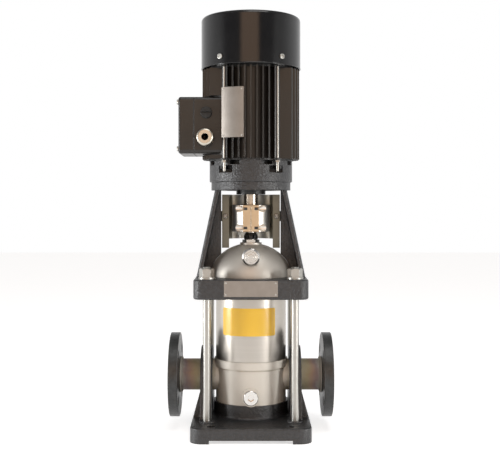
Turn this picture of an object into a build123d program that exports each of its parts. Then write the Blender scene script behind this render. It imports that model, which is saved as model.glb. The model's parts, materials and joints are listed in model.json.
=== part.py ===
from build123d import *

import os
from math import asin, cos, degrees, radians, sin, sqrt

# A vertical in-line multistage pump with its motor, in millimetres. Z is up and is the shaft's axis,
# X runs through the two ports, and the front, with the nameplates, faces -Y. The floor is Z = 0.

# Clearances
SEAT_GAP = 0.05  # between a piece and the socket or bore that it is seated in
RUNNING_GAP = 0.05  # radial, between a turning surface and its bearing surface
FREE_GAP = 0.6  # radial, where a turning piece only passes through
BOLT_GAP = 1.0  # radial, round a bolt in its clearance hole

# Ports and their flanges (nominal bore 40, with a 145 mm flange)
FACE_TO_FACE = 280.0
PORT_HEIGHT = 91.0
PORT_BORE_R = 21.5
PIPE_WALL = 5.5
FLANGE_R = 72.5
FLANGE_THICKNESS = 16.0
RAISED_FACE_R = 44.0
RAISED_FACE = 0.5
FLANGE_PITCH_R = 55.0
FLANGE_HOLE_R = 9.0
FLANGE_HOLES = 4
PIPE_SETBACK = 1.0
WELD_LEG = 5.0

# Base plate
BASE_X = 199.0
BASE_Y = 248.0
BASE_CORNER_R = 20.0
BASE_TOP = 25.0
FOOT_HEIGHT = 5.7
FOOT_PAD_X = 31.5
FOOT_PAD_Y = 36.0
BASE_HOLE_INSET_X = 34.5
BASE_HOLE_INSET_Y = 16.5
BASE_HOLE_R = 7.0
BASE_EDGE_R = 3.0
CORING_DEPTH = 9.0
CORING_RIM = 14.0
CORING_RIB = 10.0
PEDESTAL_WALL = 3.5
PEDESTAL_LIP = 4.0
PEDESTAL_FOOT_R = 4.0
CRADLE_INNER_X = 66.0
CRADLE_OUTER_X = 86.0
CRADLE_R = 50.0
CRADLE_FOOT_Y = 62.0
BUTTRESS_REACH = 12.0
BUTTRESS_HEIGHT = 47.0
BUTTRESS_Y = 80.0
CRADLE_GAP = 0.8

# Inlet and outlet chamber
CHAMBER_R = 61.0
CHAMBER_DROP = 47.0  # from the ports' axis down to the chamber's seat
COLLAR_R = 63.5
COLLAR_HEIGHT = 12.5
COLLAR_RISE = 17.0  # from the ports' axis up to the collar
COLLAR_GROOVE = 1.5
COLLAR_GROOVE_HEIGHT = 2.5
CHAMBER_FLOOR = 8.0
EYE_R = 27.0
THROAT_R = 15.0
CHAMBER_SHELL = 5.0
RETURN_DROP = 19.0
RETURN_ARC = 200.0
SLEEVE_SEAT_DEPTH = 9.5
GASKET = 1.0

# Drain plug
DRAIN_RISE = 18.5
DRAIN_BOSS_R = 15.5
DRAIN_BOSS_REACH = 4.0
DRAIN_BORE_R = 6.5
DRAIN_HEAD_R = 12.5
DRAIN_HEAD = 5.0
DRAIN_SOCKET_FLATS = 10.0
DRAIN_THREAD_LENGTH = 12.0

# Outer sleeve
SLEEVE_WALL = 1.5

# Staybolts
STAY_PITCH = 147.2
STAY_R = 6.5
STAY_DEPTH = 13.0
STAY_BOSS_R = 13.0
STAY_BOSS_HEIGHT = 2.0
STAY_WASHER_R = 14.0
STAY_WASHER = 3.0
STAY_NUT_FLATS = 22.0
STAY_NUT = 15.0
STAY_TAIL = 2.0

# Motor stool: lower ring, legs and drum
RING_SIDE = 191.4
RING_CORNER_R = 15.0
RING_HEIGHT = 33.0
RING_EDGE_R = 3.0
LEG_INNER_X = 52.0
LEG_FOOT_DEPTH = 41.0
LEG_HEAD_DEPTH = 10.0
LEG_FOOT_Y = 90.0
LEG_HEAD_Y = 60.0
LEG_CORNER_R = 5.0
LEG_WALL = 8.0
LEG_WEB = 10.0
LEG_HEIGHT = 149.0
DRUM_STEP_HEIGHT = 14.0
DRUM_STEP = 3.0
DRUM_RIM = 1.0  # beyond the motor's barrel
DRUM_HEIGHT = 43.0
DRUM_BORE_R = 45.0
PAD_HEIGHT = 7.0
PAD_WIDTH = 14.0
NOTCH_FROM = 15.0
NOTCH_TO = 30.0
POCKET_INWARD = 15.0  # along X, from the bolt in it
POCKET_OUTWARD = 8.0
POCKET_BEHIND = 8.0  # along Y, from the bolt
POCKET_HEIGHT = 11.5
POCKET_ROOF = 2.0
GUARD_LUG_X = 10.5
GUARD_ARM = 6.0
GUARD_LUG_Y = 16.0
GUARD_LUG_Z = 18.0

# Pump head
HEAD_R = 70.0
HEAD_RISE = 57.0
HEAD_WALL = 4.0
HEAD_LIP = 6.0
HEAD_LIP_THICKNESS = 8.0
HEAD_INSET = 3.0
HEAD_SOCKET_DEPTH = 14.0
HEAD_SHOULDER = 5.0
HEAD_GAP = 0.3
NECK_R = 19.0
NECK_STEP = 1.0
NECK_DEPTH = 14.0

# Vent plug
VENT_RISE = 36.0
VENT_BOSS_R = 12.0
VENT_PLUG_R = 15.0
VENT_PLUG_HEAD = 5.0
VENT_PLUG_CONE = 3.0
VENT_HEX_FLATS = 17.0
VENT_HEX = 4.5
VENT_REACH = 1.0
VENT_THREAD_R = 8.0
VENT_SCREW_R = 3.0
VENT_SCREW_FLATS = 9.0
VENT_SCREW_HEAD = 5.0
VENT_SCREW_DEPTH = 11.0

# Pump shaft and hydraulic stack
SHAFT_R = 8.0
STAGES = 4
STAGE_HEIGHT = 30.0
STACK_R = 50.0
STACK_SHEET = 1.6
STACK_LIFT = 4.0
SPACER_HEIGHT = 17.5
IMPELLER_R = 42.0
IMPELLER_EYE_R = 21.0
IMPELLER_SHEET = 1.4
IMPELLER_HUB_R = 12.0
IMPELLER_BLADES = 6
IMPELLER_SWEEP = 70.0
IMPELLER_LIFT = 3.0
IMPELLER_WIDTH = 12.0
NECK_RING_WALL = 3.0
NECK_RING_HEIGHT = 3.0
RETURN_VANES = 8
RETURN_SWEEP = 50.0
RETURN_DISC_Z = 17.5
RETURN_DISC_R = 44.0
HUB_HOLE_GAP = 1.0
VANE_THICKNESS = 1.5
SPACER_WALL = 4.0
SPACER_WINDOWS = 6
SPACER_WINDOW_WIDTH = 24.0
SPACER_WINDOW_RIM = 4.0
BUSH_WALL = 4.0
BUSH_LENGTH = 16.0
BUSH_DROP = 2.0
BUSH_SPIDER_ARMS = 3
BUSH_SPIDER_ARM = 6.0
SHAFT_NUT_FLATS = 22.0
SHAFT_NUT = 8.0
SHAFT_WASHER_R = 15.0
SHAFT_WASHER = 2.0
SHAFT_TAIL = 3.0

# Shaft seal
SEAL_BORE_R = 13.5
SEAL_SEAT_HEIGHT = 7.0
SEAL_SEAT_BORE = 1.0
SEAL_RING_R = 12.0
SEAL_RING_HEIGHT = 6.0
SEAL_SPRING_R = 11.0
SEAL_SPRING_WIRE = 1.4
SEAL_SPRING_HEIGHT = 12.0
GLAND_FLATS = 26.0
GLAND_HEX = 5.0
GLAND_BORE = 2.5
DRIVER_R = 12.0
DRIVER_TOP_R = 9.5
DRIVER_HEIGHT = 12.0
DRIVER_SLOTS = 8
DRIVER_SLOT_WIDTH = 3.4
DRIVER_SLOT_HEIGHT = 6.0

# Coupling
COUPLING_RISE = 19.0
COUPLING_HEIGHT = 47.0
COUPLING_R = 33.0
EAR_HALF = 14.0
EAR_REACH = 31.0
EAR_SPLIT = 1.0
CLAMP_SCREW_R = 3.0
CLAMP_HEAD_R = 5.0
CLAMP_HEAD = 6.0
CLAMP_OFFSET = 25.6
CLAMP_POCKET_R = 5.9
CLAMP_WEB = 6.0
CLAMP_EDGE = 7.0
CLAMP_NUT = 5.0
CLAMP_NUT_FLATS = 10.0
COUPLING_SHAFT_GAP = 2.0
PIN_R = 2.5
PIN_HALF = 14.0
PIN_RISE = 11.0

# Coupling guard
GUARD_R = 41.0
GUARD_SHEET = 1.2
GUARD_DROP = 13.0  # below the coupling
GUARD_WING_DROP = 16.0  # of the wings, below the round sheet
GUARD_HEAD_GAP = 7.0
GUARD_WING_Y = 14.0
GUARD_WING_X = 51.0
GUARD_SCREW_X = 45.0
GUARD_SCREW_RISE = 40.0
GUARD_SCREW_R = 2.5
GUARD_SCREW_HEAD_R = 4.6
GUARD_SCREW_HEAD = 3.4

# Motor
MOTOR_SHAFT_R = 12.0
BEARING_BORE_R = 12.5
BEARING_R = 26.0
BEARING_WIDTH = 15.0
BEARING_INNER_WALL = 3.3
BEARING_OUTER_WALL = 3.4
BEARING_BALLS = 7
LOWER_BEARING_DEPTH = 21.0
UPPER_BEARING_DEPTH = 13.0
CORE_SHAFT_R = 15.0
FAN_SHAFT_R = 10.0
FAN_STUB = 63.0
HUB_R = 25.5
HUB_DROP = 7.0
HUB_BODY_R = 34.0
HUB_BODY_RISE = 3.0
SHIELD_RIM = 3.0
SHIELD_SPIGOT_DEPTH = 10.0
SHIELD_WALL = 8.0
FRAME_HEIGHT = 154.0
FRAME_WALL = 6.0
CORE_R = 65.0
FIN_HEIGHT = 15.0
SIDE_FIN_TRIM = 2.5
FIN_PITCH = 10.2
FIN_THICKNESS = 2.4
FRONT_FINS = 9
SIDE_FINS = 9
EDGE_FIN_Y = 50.0
EDGE_FIN_THICKNESS = 3.0
TIE_X = 44.6
TIE_STAND = 6.6  # of a tie rod's middle, beyond the barrel
TIE_R = 2.4
TIE_LUG_R = 6.5
TIE_NUT_FLATS = 8.0
TIE_NUT = 4.0
TIE_TAIL = 15.0
CORE_RISE = 27.0
CORE_HEAD = 31.0
CORE_BORE_R = 40.0
AIR_GAP = 0.4
STATOR_SLOTS = 12
SLOT_DEPTH = 12.0
SLOT_WIDTH = 8.0
WINDING_HEIGHT = 14.0
WINDING_INSET = 3.0
END_RING_HEIGHT = 7.0
END_RING_WALL = 12.0
UPPER_SHIELD = 8.0

# Bolts between stool and motor
MOTOR_BOLT_INSET = 7.0  # of the bolt circle, from the drum's edge
MOTOR_BOLT_R = 4.0
MOTOR_BOLT_FLATS = 13.0
MOTOR_BOLT_HEAD = 5.3

# Fan and fan cover
COVER_STEP = 0.3
COVER_SHEET = 1.6
COVER_OVERLAP = 3.0
COVER_HEIGHT = 89.0
COVER_EDGE_R = 6.0
COVER_SCREW_RISE = 13.0
COVER_SCREW_ANGLE = 36.6
COVER_SCREW_R = 2.5
COVER_SCREW_HEAD_R = 4.8
COVER_SCREW_HEAD = 3.0
COVER_LUG_WIDTH = 16.0
COVER_LUG_DEPTH = 12.0
COVER_LUG_RISE = 6.0
GRILLE_RINGS = ((26.0, 40.0), (46.0, 60.0), (65.0, 76.0))
GRILLE_COUNTS = (16, 20, 24)
GRILLE_SLOT = 5.0
FAN_RISE = 21.0
FAN_R = 66.0
FAN_HUB_R = 18.0
FAN_HUB_HEIGHT = 26.0
FAN_DISC = 2.5
FAN_BLADES = 8
FAN_BLADE = 2.4
FAN_BLADE_HEIGHT = 20.0

# Terminal box
BOX_STAND = 12.5
BOX_LID_DEPTH = 25.5
BOX_Y = 52.0
BOX_RISE = 8.5
BOX_HEIGHT = 96.5
BOX_WALL = 4.0
BOX_CORNER_R = 7.0
BOX_GASKET = 1.5
BOX_INNER_X = 48.5
BOARD_X = 6.0
BOARD_Y = 56.0
BOARD_Z = 44.0
BOARD_STUD_R = 2.5
BOARD_STUD = 9.0
BOARD_POST_R = 4.0
BOARD_GAP = 3.0
LID_SCREW_R = 2.5
LID_SCREW_HEAD_R = 4.5
LID_SCREW_HEAD = 3.0
LID_SCREW_DEPTH = 9.0
LID_SCREW_INSET = 8.5
GLAND_INSET = 19.0
GLAND_RISE = 27.0
GLAND_HOLE_R = 9.5
GLAND_BODY_FLATS = 26.0
GLAND_BODY = 5.0
GLAND_NUT_R = 14.5
GLAND_NUT = 15.0
GLAND_NUT_EDGE_R = 4.0
CABLE_R = 6.0
GLAND_TAIL = 7.0
PLUG_INSET = 20.5
PLUG_RISE = 69.5
PLUG_R = 9.8
PLUG_HEAD = 5.0
PLUG_SLOT = 3.0

# Plates and label
PLATE = 0.7
HEAD_PLATE_X = 88.5
HEAD_PLATE_RISE = 5.2
HEAD_PLATE_HEIGHT = 26.0
MOTOR_PLATE_FROM = 8.0
MOTOR_PLATE_TO = 34.5
MOTOR_PLATE_RISE = 34.0
MOTOR_PLATE_HEIGHT = 84.0
LABEL = 0.3
LABEL_LEFT = 50.5
LABEL_RIGHT = 42.0
LABEL_RISE = 44.5
LABEL_HEIGHT = 47.0

# Places that follow from the sizes above, from the floor up
FLANGE_FACE_X = FACE_TO_FACE / 2
PIPE_R = PORT_BORE_R + PIPE_WALL
BASE_HOLE_PITCH_X = BASE_X - 2 * BASE_HOLE_INSET_X
BASE_HOLE_PITCH_Y = BASE_Y - 2 * BASE_HOLE_INSET_Y
BUTTRESS_TOP = BASE_TOP + BUTTRESS_HEIGHT
CHAMBER_BOTTOM = PORT_HEIGHT - CHAMBER_DROP
RETURN_FLOOR = PORT_HEIGHT - RETURN_DROP
DRAIN_Z = CHAMBER_BOTTOM + DRAIN_RISE
COLLAR_BOTTOM = PORT_HEIGHT + COLLAR_RISE
COLLAR_TOP = COLLAR_BOTTOM + COLLAR_HEIGHT
SLEEVE_R = CHAMBER_R
SLEEVE_BORE_R = SLEEVE_R - SLEEVE_WALL
SLEEVE_BOTTOM = COLLAR_TOP - SLEEVE_SEAT_DEPTH + GASKET
STACK_BASE = COLLAR_BOTTOM + STACK_LIFT
STACK_TOP = STACK_BASE + STAGES * STAGE_HEIGHT
SPACER_TOP = STACK_TOP + SPACER_HEIGHT
SHOULDER_Z = SPACER_TOP + HEAD_SHOULDER / 2
HEAD_SEAT = SHOULDER_Z - HEAD_SHOULDER
HEAD_BOTTOM = HEAD_SEAT - HEAD_SOCKET_DEPTH
SLEEVE_TOP = HEAD_SEAT - GASKET
LABEL_LOW = COLLAR_TOP + LABEL_RISE
LABEL_HIGH = LABEL_LOW + LABEL_HEIGHT
RING_BOTTOM = HEAD_BOTTOM - HEAD_INSET
RING_TOP = RING_BOTTOM + RING_HEIGHT
HEAD_PLATE_LOW = RING_BOTTOM + HEAD_PLATE_RISE
HEAD_PLATE_HIGH = HEAD_PLATE_LOW + HEAD_PLATE_HEIGHT
STAY = STAY_PITCH / 2
STAY_TOP = RING_TOP + STAY_WASHER + STAY_NUT + STAY_TAIL
VENT_Z = RING_TOP + VENT_RISE
NECK_TOP = RING_TOP + HEAD_RISE + NECK_STEP
NECK_BOTTOM = NECK_TOP - NECK_DEPTH
GLAND_TOP = NECK_TOP + GLAND_HEX
COUPLING_BOTTOM = NECK_TOP + COUPLING_RISE
COUPLING_TOP = COUPLING_BOTTOM + COUPLING_HEIGHT
COUPLING_STEP = (COUPLING_BOTTOM + COUPLING_TOP) / 2
PIN_Z = COUPLING_BOTTOM + PIN_RISE
LEG_FOOT_X = LEG_INNER_X + LEG_FOOT_DEPTH
LEG_HEAD_X = LEG_INNER_X + LEG_HEAD_DEPTH
BARREL_R = CORE_R + FRAME_WALL
DRUM_R = BARREL_R + DRUM_RIM
DRUM_STEP_R = DRUM_R - DRUM_STEP
PAD_INNER_R = DRUM_R - PAD_WIDTH
DRUM_BOTTOM = RING_TOP + LEG_HEIGHT
DRUM_STEP_Z = DRUM_BOTTOM + DRUM_STEP_HEIGHT
DRUM_FACE = DRUM_BOTTOM + DRUM_HEIGHT
POCKET_TOP = DRUM_FACE - POCKET_ROOF
POCKET_BOTTOM = POCKET_TOP - POCKET_HEIGHT
PAD_TOP = DRUM_FACE + PAD_HEIGHT
HUB_BOTTOM = DRUM_BOTTOM - HUB_DROP
HUB_BODY_BOTTOM = DRUM_BOTTOM + HUB_BODY_RISE
GUARD_BOTTOM = COUPLING_BOTTOM - GUARD_DROP
GUARD_TOP = DRUM_BOTTOM - GUARD_HEAD_GAP
GUARD_SCREW_Z = GUARD_BOTTOM + GUARD_SCREW_RISE
FIN_TIP_R = BARREL_R + FIN_HEIGHT
FRAME_HALF_X = FIN_TIP_R - SIDE_FIN_TRIM
TIE_Y = sqrt((BARREL_R + TIE_STAND) ** 2 - TIE_X**2)
FRAME_BOTTOM = PAD_TOP + SHIELD_RIM
FRAME_TOP = FRAME_BOTTOM + FRAME_HEIGHT
SHIELD_TOP = FRAME_TOP + UPPER_SHIELD
LOWER_BEARING_Z = DRUM_FACE - LOWER_BEARING_DEPTH
UPPER_BEARING_Z = FRAME_TOP - UPPER_BEARING_DEPTH
FAN_SHAFT_TOP = UPPER_BEARING_Z + BEARING_WIDTH + FAN_STUB
CORE_LOW = FRAME_BOTTOM + CORE_RISE
CORE_HIGH = FRAME_TOP - CORE_HEAD
COVER_R = FIN_TIP_R + COVER_STEP
COVER_BOTTOM = FRAME_TOP + COVER_OVERLAP
COVER_TOP = COVER_BOTTOM + COVER_HEIGHT
COVER_SCREW_Z = COVER_BOTTOM + COVER_SCREW_RISE
FAN_BOTTOM = SHIELD_TOP + FAN_RISE
BOX_FACE_X = FRAME_HALF_X + BOX_STAND
BOX_LID_X = BOX_FACE_X + BOX_GASKET + BOX_LID_DEPTH
GLAND_X = BOX_FACE_X - GLAND_INSET
PLUG_X = BOX_FACE_X - PLUG_INSET
BOX_BOTTOM = FRAME_BOTTOM + BOX_RISE
BOX_TOP = BOX_BOTTOM + BOX_HEIGHT
GLAND_Z = BOX_BOTTOM + GLAND_RISE
PLUG_Z = BOX_BOTTOM + PLUG_RISE
MOTOR_PLATE_LOW = FRAME_BOTTOM + MOTOR_PLATE_RISE
MOTOR_PLATE_HIGH = MOTOR_PLATE_LOW + MOTOR_PLATE_HEIGHT
TIE_ANGLE = degrees(asin(TIE_X / (BARREL_R + TIE_STAND)))
MOTOR_BOLT = (DRUM_R - MOTOR_BOLT_INSET) / sqrt(2)
FRONT = -90.0  # the front's direction in degrees, from +X
os.makedirs("parts", exist_ok=True)
UP = (Align.CENTER, Align.CENTER, Align.MIN)
ACROSS_CORNERS = 2 / sqrt(3)


def disc(radius, low, high, x=0, y=0):
    """An upright cylinder between two heights."""
    return Pos(x, y, low) * Cylinder(radius, high - low, align=UP)


def tube(outer, inner, low, high, x=0, y=0):
    """An upright tube between two heights."""
    return disc(outer, low, high, x, y) - disc(inner, low, high, x, y)


def bar(radius, start, direction, length):
    """A round bar from a point along a direction."""
    return Plane(origin=start, z_dir=direction) * Cylinder(radius, length, align=UP)


def hexagon(flats, start, direction, length):
    """A hexagonal bar, by its size across flats, from a point along a direction."""
    outline = RegularPolygon(flats * ACROSS_CORNERS / 2, 6)
    return extrude(Plane(origin=start, z_dir=direction) * outline, length)


def block(low, high):
    """A box between two corners."""
    size = [b - a for a, b in zip(low, high)]
    centre = [(a + b) / 2 for a, b in zip(low, high)]
    return Pos(*centre) * Box(*size)


def turned(*points):
    """A solid turned about the shaft's axis from its (radius, height) corners."""
    outline = Polyline(*[(r, 0, z) for r, z in points], close=True)
    return revolve(make_face(outline), Axis.Z)


def around(shape, count, first=0):
    """Copies of a shape at even steps about the shaft's axis."""
    return [Rot(0, 0, first + 360 * i / count) * shape for i in range(count)]


def corners(shape):
    """A shape's copies in the four quarters, mirrored about the X and Y planes."""
    across = mirror(shape, Plane.YZ)
    return [shape, across, mirror(shape, Plane.XZ), mirror(across, Plane.XZ)]


def rim_edges(solid, height):
    """The edges of a solid that lie in the level plane at a height."""
    return solid.edges().filter_by_position(Axis.Z, height - 0.01, height + 0.01)


def sector(radius, start, stop, low, high):
    """A wedge about the shaft's axis; angles are turned from the front, towards +X."""
    spread = stop - start
    outline = Plane.XZ * Pos(radius / 2, (low + high) / 2) * Rectangle(radius, high - low)
    return Rot(0, 0, FRONT + start) * revolve(outline, Axis.Z, spread)


# Base, chamber and ports


def base_plate():
    plan = RectangleRounded(BASE_X, BASE_Y, BASE_CORNER_R)
    plate = extrude(Pos(0, 0, FOOT_HEIGHT) * plan, BASE_TOP - FOOT_HEIGHT)
    plate = fillet(rim_edges(plate, BASE_TOP), BASE_EDGE_R)
    pad_x = BASE_X / 2 - FOOT_PAD_X
    pad_y = BASE_Y / 2 - FOOT_PAD_Y
    pad = block((pad_x, pad_y, 0), (BASE_X / 2, BASE_Y / 2, FOOT_HEIGHT))
    hole_x = BASE_HOLE_PITCH_X / 2
    hole_y = BASE_HOLE_PITCH_Y / 2
    outline = extrude(plan, FOOT_HEIGHT)
    for foot in corners(pad & outline):
        plate += foot
    bay_x = BASE_X / 2 - CORING_RIM - CORING_RIB / 2
    bay_y = pad_y - CORING_RIM / 2 - CORING_RIB / 2
    bay = RectangleRounded(bay_x, bay_y, BASE_EDGE_R * 2)
    bay = Pos((bay_x + CORING_RIB) / 2, (bay_y + CORING_RIB) / 2, FOOT_HEIGHT) * bay
    clear = disc(STAY_BOSS_R, 0, BASE_TOP, STAY, STAY)
    for coring in corners(extrude(bay, CORING_DEPTH) - clear):
        plate -= coring
    pedestal_r = CHAMBER_R + PEDESTAL_WALL
    pedestal_top = CHAMBER_BOTTOM + PEDESTAL_LIP
    plate += disc(pedestal_r, BASE_TOP, pedestal_top)
    foot_line = rim_edges(plate, BASE_TOP).filter_by(GeomType.CIRCLE)
    foot_line = foot_line.filter_by(lambda e: abs(e.radius - pedestal_r) < 0.01)
    plate = fillet(foot_line, PEDESTAL_FOOT_R)
    for side in (cradle(), mirror(cradle(), Plane.YZ)):
        plate += side
    plate -= disc(CHAMBER_R + SEAT_GAP, CHAMBER_BOTTOM, pedestal_top)
    plate -= bar(DRAIN_BOSS_R + CRADLE_GAP, (0, 0, DRAIN_Z), (0, -1, 0), pedestal_r + 1)
    for boss in corners(disc(STAY_BOSS_R, BASE_TOP, BASE_TOP + STAY_BOSS_HEIGHT, STAY, STAY)):
        plate += boss
    stay_bottom = BASE_TOP + STAY_BOSS_HEIGHT - STAY_DEPTH
    for hole in corners(disc(STAY_R + SEAT_GAP, stay_bottom, PORT_HEIGHT, STAY, STAY)):
        plate -= hole
    for hole in corners(disc(BASE_HOLE_R, 0, BASE_TOP, hole_x, hole_y)):
        plate -= hole
    return plate


def cradle():
    """The arch on the +X side that the pipe stub passes through, with its buttress."""
    lean = degrees(asin((CRADLE_FOOT_Y - CRADLE_R) / (PORT_HEIGHT - BASE_TOP)))
    shoulder_y = CRADLE_R * cos(radians(lean))
    shoulder_z = PORT_HEIGHT + CRADLE_R * sin(radians(lean))
    over = ThreePointArc(
        (shoulder_y, shoulder_z), (0, PORT_HEIGHT + CRADLE_R), (-shoulder_y, shoulder_z)
    )
    down = Polyline(
        (-shoulder_y, shoulder_z),
        (-CRADLE_FOOT_Y, BASE_TOP),
        (CRADLE_FOOT_Y, BASE_TOP),
        (shoulder_y, shoulder_z),
    )
    arch = Plane.YZ * Pos(0, 0, CRADLE_INNER_X) * make_face(over.edges() + down.edges())
    arch = extrude(arch, CRADLE_OUTER_X - CRADLE_INNER_X)
    slope = Polyline(
        (CRADLE_OUTER_X - 1, 0, BASE_TOP),
        (CRADLE_OUTER_X + BUTTRESS_REACH, 0, BASE_TOP),
        (CRADLE_OUTER_X, 0, BUTTRESS_TOP),
        (CRADLE_OUTER_X - 1, 0, BUTTRESS_TOP),
        close=True,
    )
    arch += extrude(make_face(slope), BUTTRESS_Y / 2, both=True)
    arch -= disc(CHAMBER_R + CRADLE_GAP, BASE_TOP, PORT_HEIGHT + CRADLE_R)
    start = (CRADLE_INNER_X - 1, 0, PORT_HEIGHT)
    reach = CRADLE_OUTER_X + BUTTRESS_REACH - CRADLE_INNER_X + 2
    return arch - bar(PIPE_R + CRADLE_GAP, start, (1, 0, 0), reach)


def inlet_outlet_chamber():
    """Suction comes in along X and turns up the middle; the return runs round it to the outlet."""
    body = disc(CHAMBER_R, CHAMBER_BOTTOM, COLLAR_BOTTOM)
    groove_low = COLLAR_BOTTOM - COLLAR_GROOVE_HEIGHT
    body -= tube(CHAMBER_R + 1, CHAMBER_R - COLLAR_GROOVE, groove_low, COLLAR_BOTTOM)
    body += disc(COLLAR_R, COLLAR_BOTTOM, COLLAR_TOP)
    pipe_end = FLANGE_FACE_X - PIPE_SETBACK
    body += bar(PIPE_R, (-pipe_end, 0, PORT_HEIGHT), (1, 0, 0), 2 * pipe_end)
    boss_y = CHAMBER_R + DRAIN_BOSS_REACH
    body += bar(DRAIN_BOSS_R, (0, 0, DRAIN_Z), (0, -1, 0), boss_y)
    seat = SLEEVE_BOTTOM - GASKET
    body -= disc(SLEEVE_R + SEAT_GAP, STACK_BASE, COLLAR_TOP)
    body -= tube(SLEEVE_R + SEAT_GAP, STACK_R, seat, STACK_BASE)
    ledge = seat - CHAMBER_SHELL / 2
    body -= tube(SLEEVE_BORE_R, STACK_R, ledge, seat)
    back = tube(CHAMBER_R - CHAMBER_SHELL, STACK_R - CHAMBER_SHELL, RETURN_FLOOR, ledge)
    begin = -FRONT - RETURN_ARC / 2
    body -= back & sector(CHAMBER_R, begin, begin + RETURN_ARC, RETURN_FLOOR, ledge)
    bore = bar(PORT_BORE_R, (CHAMBER_R, 0, PORT_HEIGHT), (1, 0, 0), pipe_end - CHAMBER_R)
    body -= bore
    body -= mirror(bore, Plane.YZ)
    outlet_start = STACK_R - CHAMBER_SHELL
    body -= bar(THROAT_R, (outlet_start, 0, PORT_HEIGHT), (1, 0, 0), CHAMBER_R - outlet_start)
    body -= bar(THROAT_R, (-CHAMBER_R, 0, PORT_HEIGHT), (1, 0, 0), CHAMBER_R)
    body -= disc(EYE_R, CHAMBER_BOTTOM + CHAMBER_FLOOR, STACK_BASE)
    body -= bar(DRAIN_BORE_R, (0, -EYE_R + CHAMBER_SHELL, DRAIN_Z), (0, -1, 0), CHAMBER_R)
    return body


def port_flange():
    """The welded flange on the +X side, with its raised face outward."""
    back = FLANGE_FACE_X - RAISED_FACE - FLANGE_THICKNESS
    plate = bar(FLANGE_R, (back, 0, PORT_HEIGHT), (1, 0, 0), FLANGE_THICKNESS)
    plate = fillet(plate.edges().filter_by(GeomType.CIRCLE), BASE_EDGE_R / 3)
    plate += bar(RAISED_FACE_R, (back, 0, PORT_HEIGHT), (1, 0, 0), FLANGE_THICKNESS + RAISED_FACE)
    weld = make_face(
        Polyline(
            (back - WELD_LEG, 0, PIPE_R),
            (back, 0, PIPE_R + WELD_LEG),
            (back, 0, PIPE_R),
            close=True,
        )
    )
    plate += Pos(0, 0, PORT_HEIGHT) * revolve(weld, Axis.X)
    length = FLANGE_THICKNESS + RAISED_FACE + WELD_LEG
    start = (back - WELD_LEG, 0, PORT_HEIGHT)
    plate -= bar(PIPE_R, start, (1, 0, 0), length)
    for i in range(FLANGE_HOLES):
        turn = radians(360 * (i + 0.5) / FLANGE_HOLES)
        y = FLANGE_PITCH_R * cos(turn)
        z = PORT_HEIGHT + FLANGE_PITCH_R * sin(turn)
        plate -= bar(FLANGE_HOLE_R, (back, y, z), (1, 0, 0), length)
    return plate


def drain_plug():
    face = CHAMBER_R + DRAIN_BOSS_REACH
    head = bar(DRAIN_HEAD_R, (0, -face, DRAIN_Z), (0, -1, 0), DRAIN_HEAD)
    head = chamfer(head.edges().group_by(Axis.Y)[0], 1)
    inner = -face + DRAIN_THREAD_LENGTH
    plug = head + bar(DRAIN_BORE_R - SEAT_GAP, (0, inner, DRAIN_Z), (0, -1, 0), DRAIN_THREAD_LENGTH)
    mouth = (0, -face - DRAIN_HEAD, DRAIN_Z)
    return plug - hexagon(DRAIN_SOCKET_FLATS, mouth, (0, 1, 0), DRAIN_HEAD)


def outer_sleeve():
    return tube(SLEEVE_R, SLEEVE_BORE_R, SLEEVE_BOTTOM, SLEEVE_TOP)


def sleeve_gaskets():
    lower = tube(SLEEVE_R, SLEEVE_BORE_R, SLEEVE_BOTTOM - GASKET, SLEEVE_BOTTOM)
    upper = tube(SLEEVE_R, SLEEVE_BORE_R, SLEEVE_TOP, HEAD_SEAT)
    return [lower, upper]


def sleeve_label():
    outer = SLEEVE_R + LABEL
    wedge = sector(outer + 1, -LABEL_LEFT, LABEL_RIGHT, LABEL_LOW, LABEL_HIGH)
    return tube(outer, SLEEVE_R, LABEL_LOW, LABEL_HIGH) & wedge


# Staybolts


def staybolts():
    bottom = BASE_TOP + STAY_BOSS_HEIGHT - STAY_DEPTH
    rod = disc(STAY_R, bottom, STAY_TOP, STAY, STAY)
    rod = chamfer(rod.edges().filter_by(GeomType.CIRCLE), 1)
    return corners(rod)


def staybolt_washers():
    top = RING_TOP + STAY_WASHER
    return corners(tube(STAY_WASHER_R, STAY_R + SEAT_GAP, RING_TOP, top, STAY, STAY))


def staybolt_nuts():
    low = RING_TOP + STAY_WASHER
    nut = hexagon(STAY_NUT_FLATS, (STAY, STAY, low), (0, 0, 1), STAY_NUT)
    nut &= turned_crown(STAY_NUT_FLATS, low, STAY_NUT)
    return corners(nut - disc(STAY_R + SEAT_GAP, low, low + STAY_NUT, STAY, STAY))


def turned_crown(flats, low, height):
    """The chamfered blank that rounds off a staybolt nut's top corners."""
    corner = flats * ACROSS_CORNERS / 2
    edge = corner - flats / 2
    blank = disc(corner, low, low + height, STAY, STAY)
    return chamfer(rim_edges(blank, low + height), edge, edge * 1.5)


# Motor stool


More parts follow.
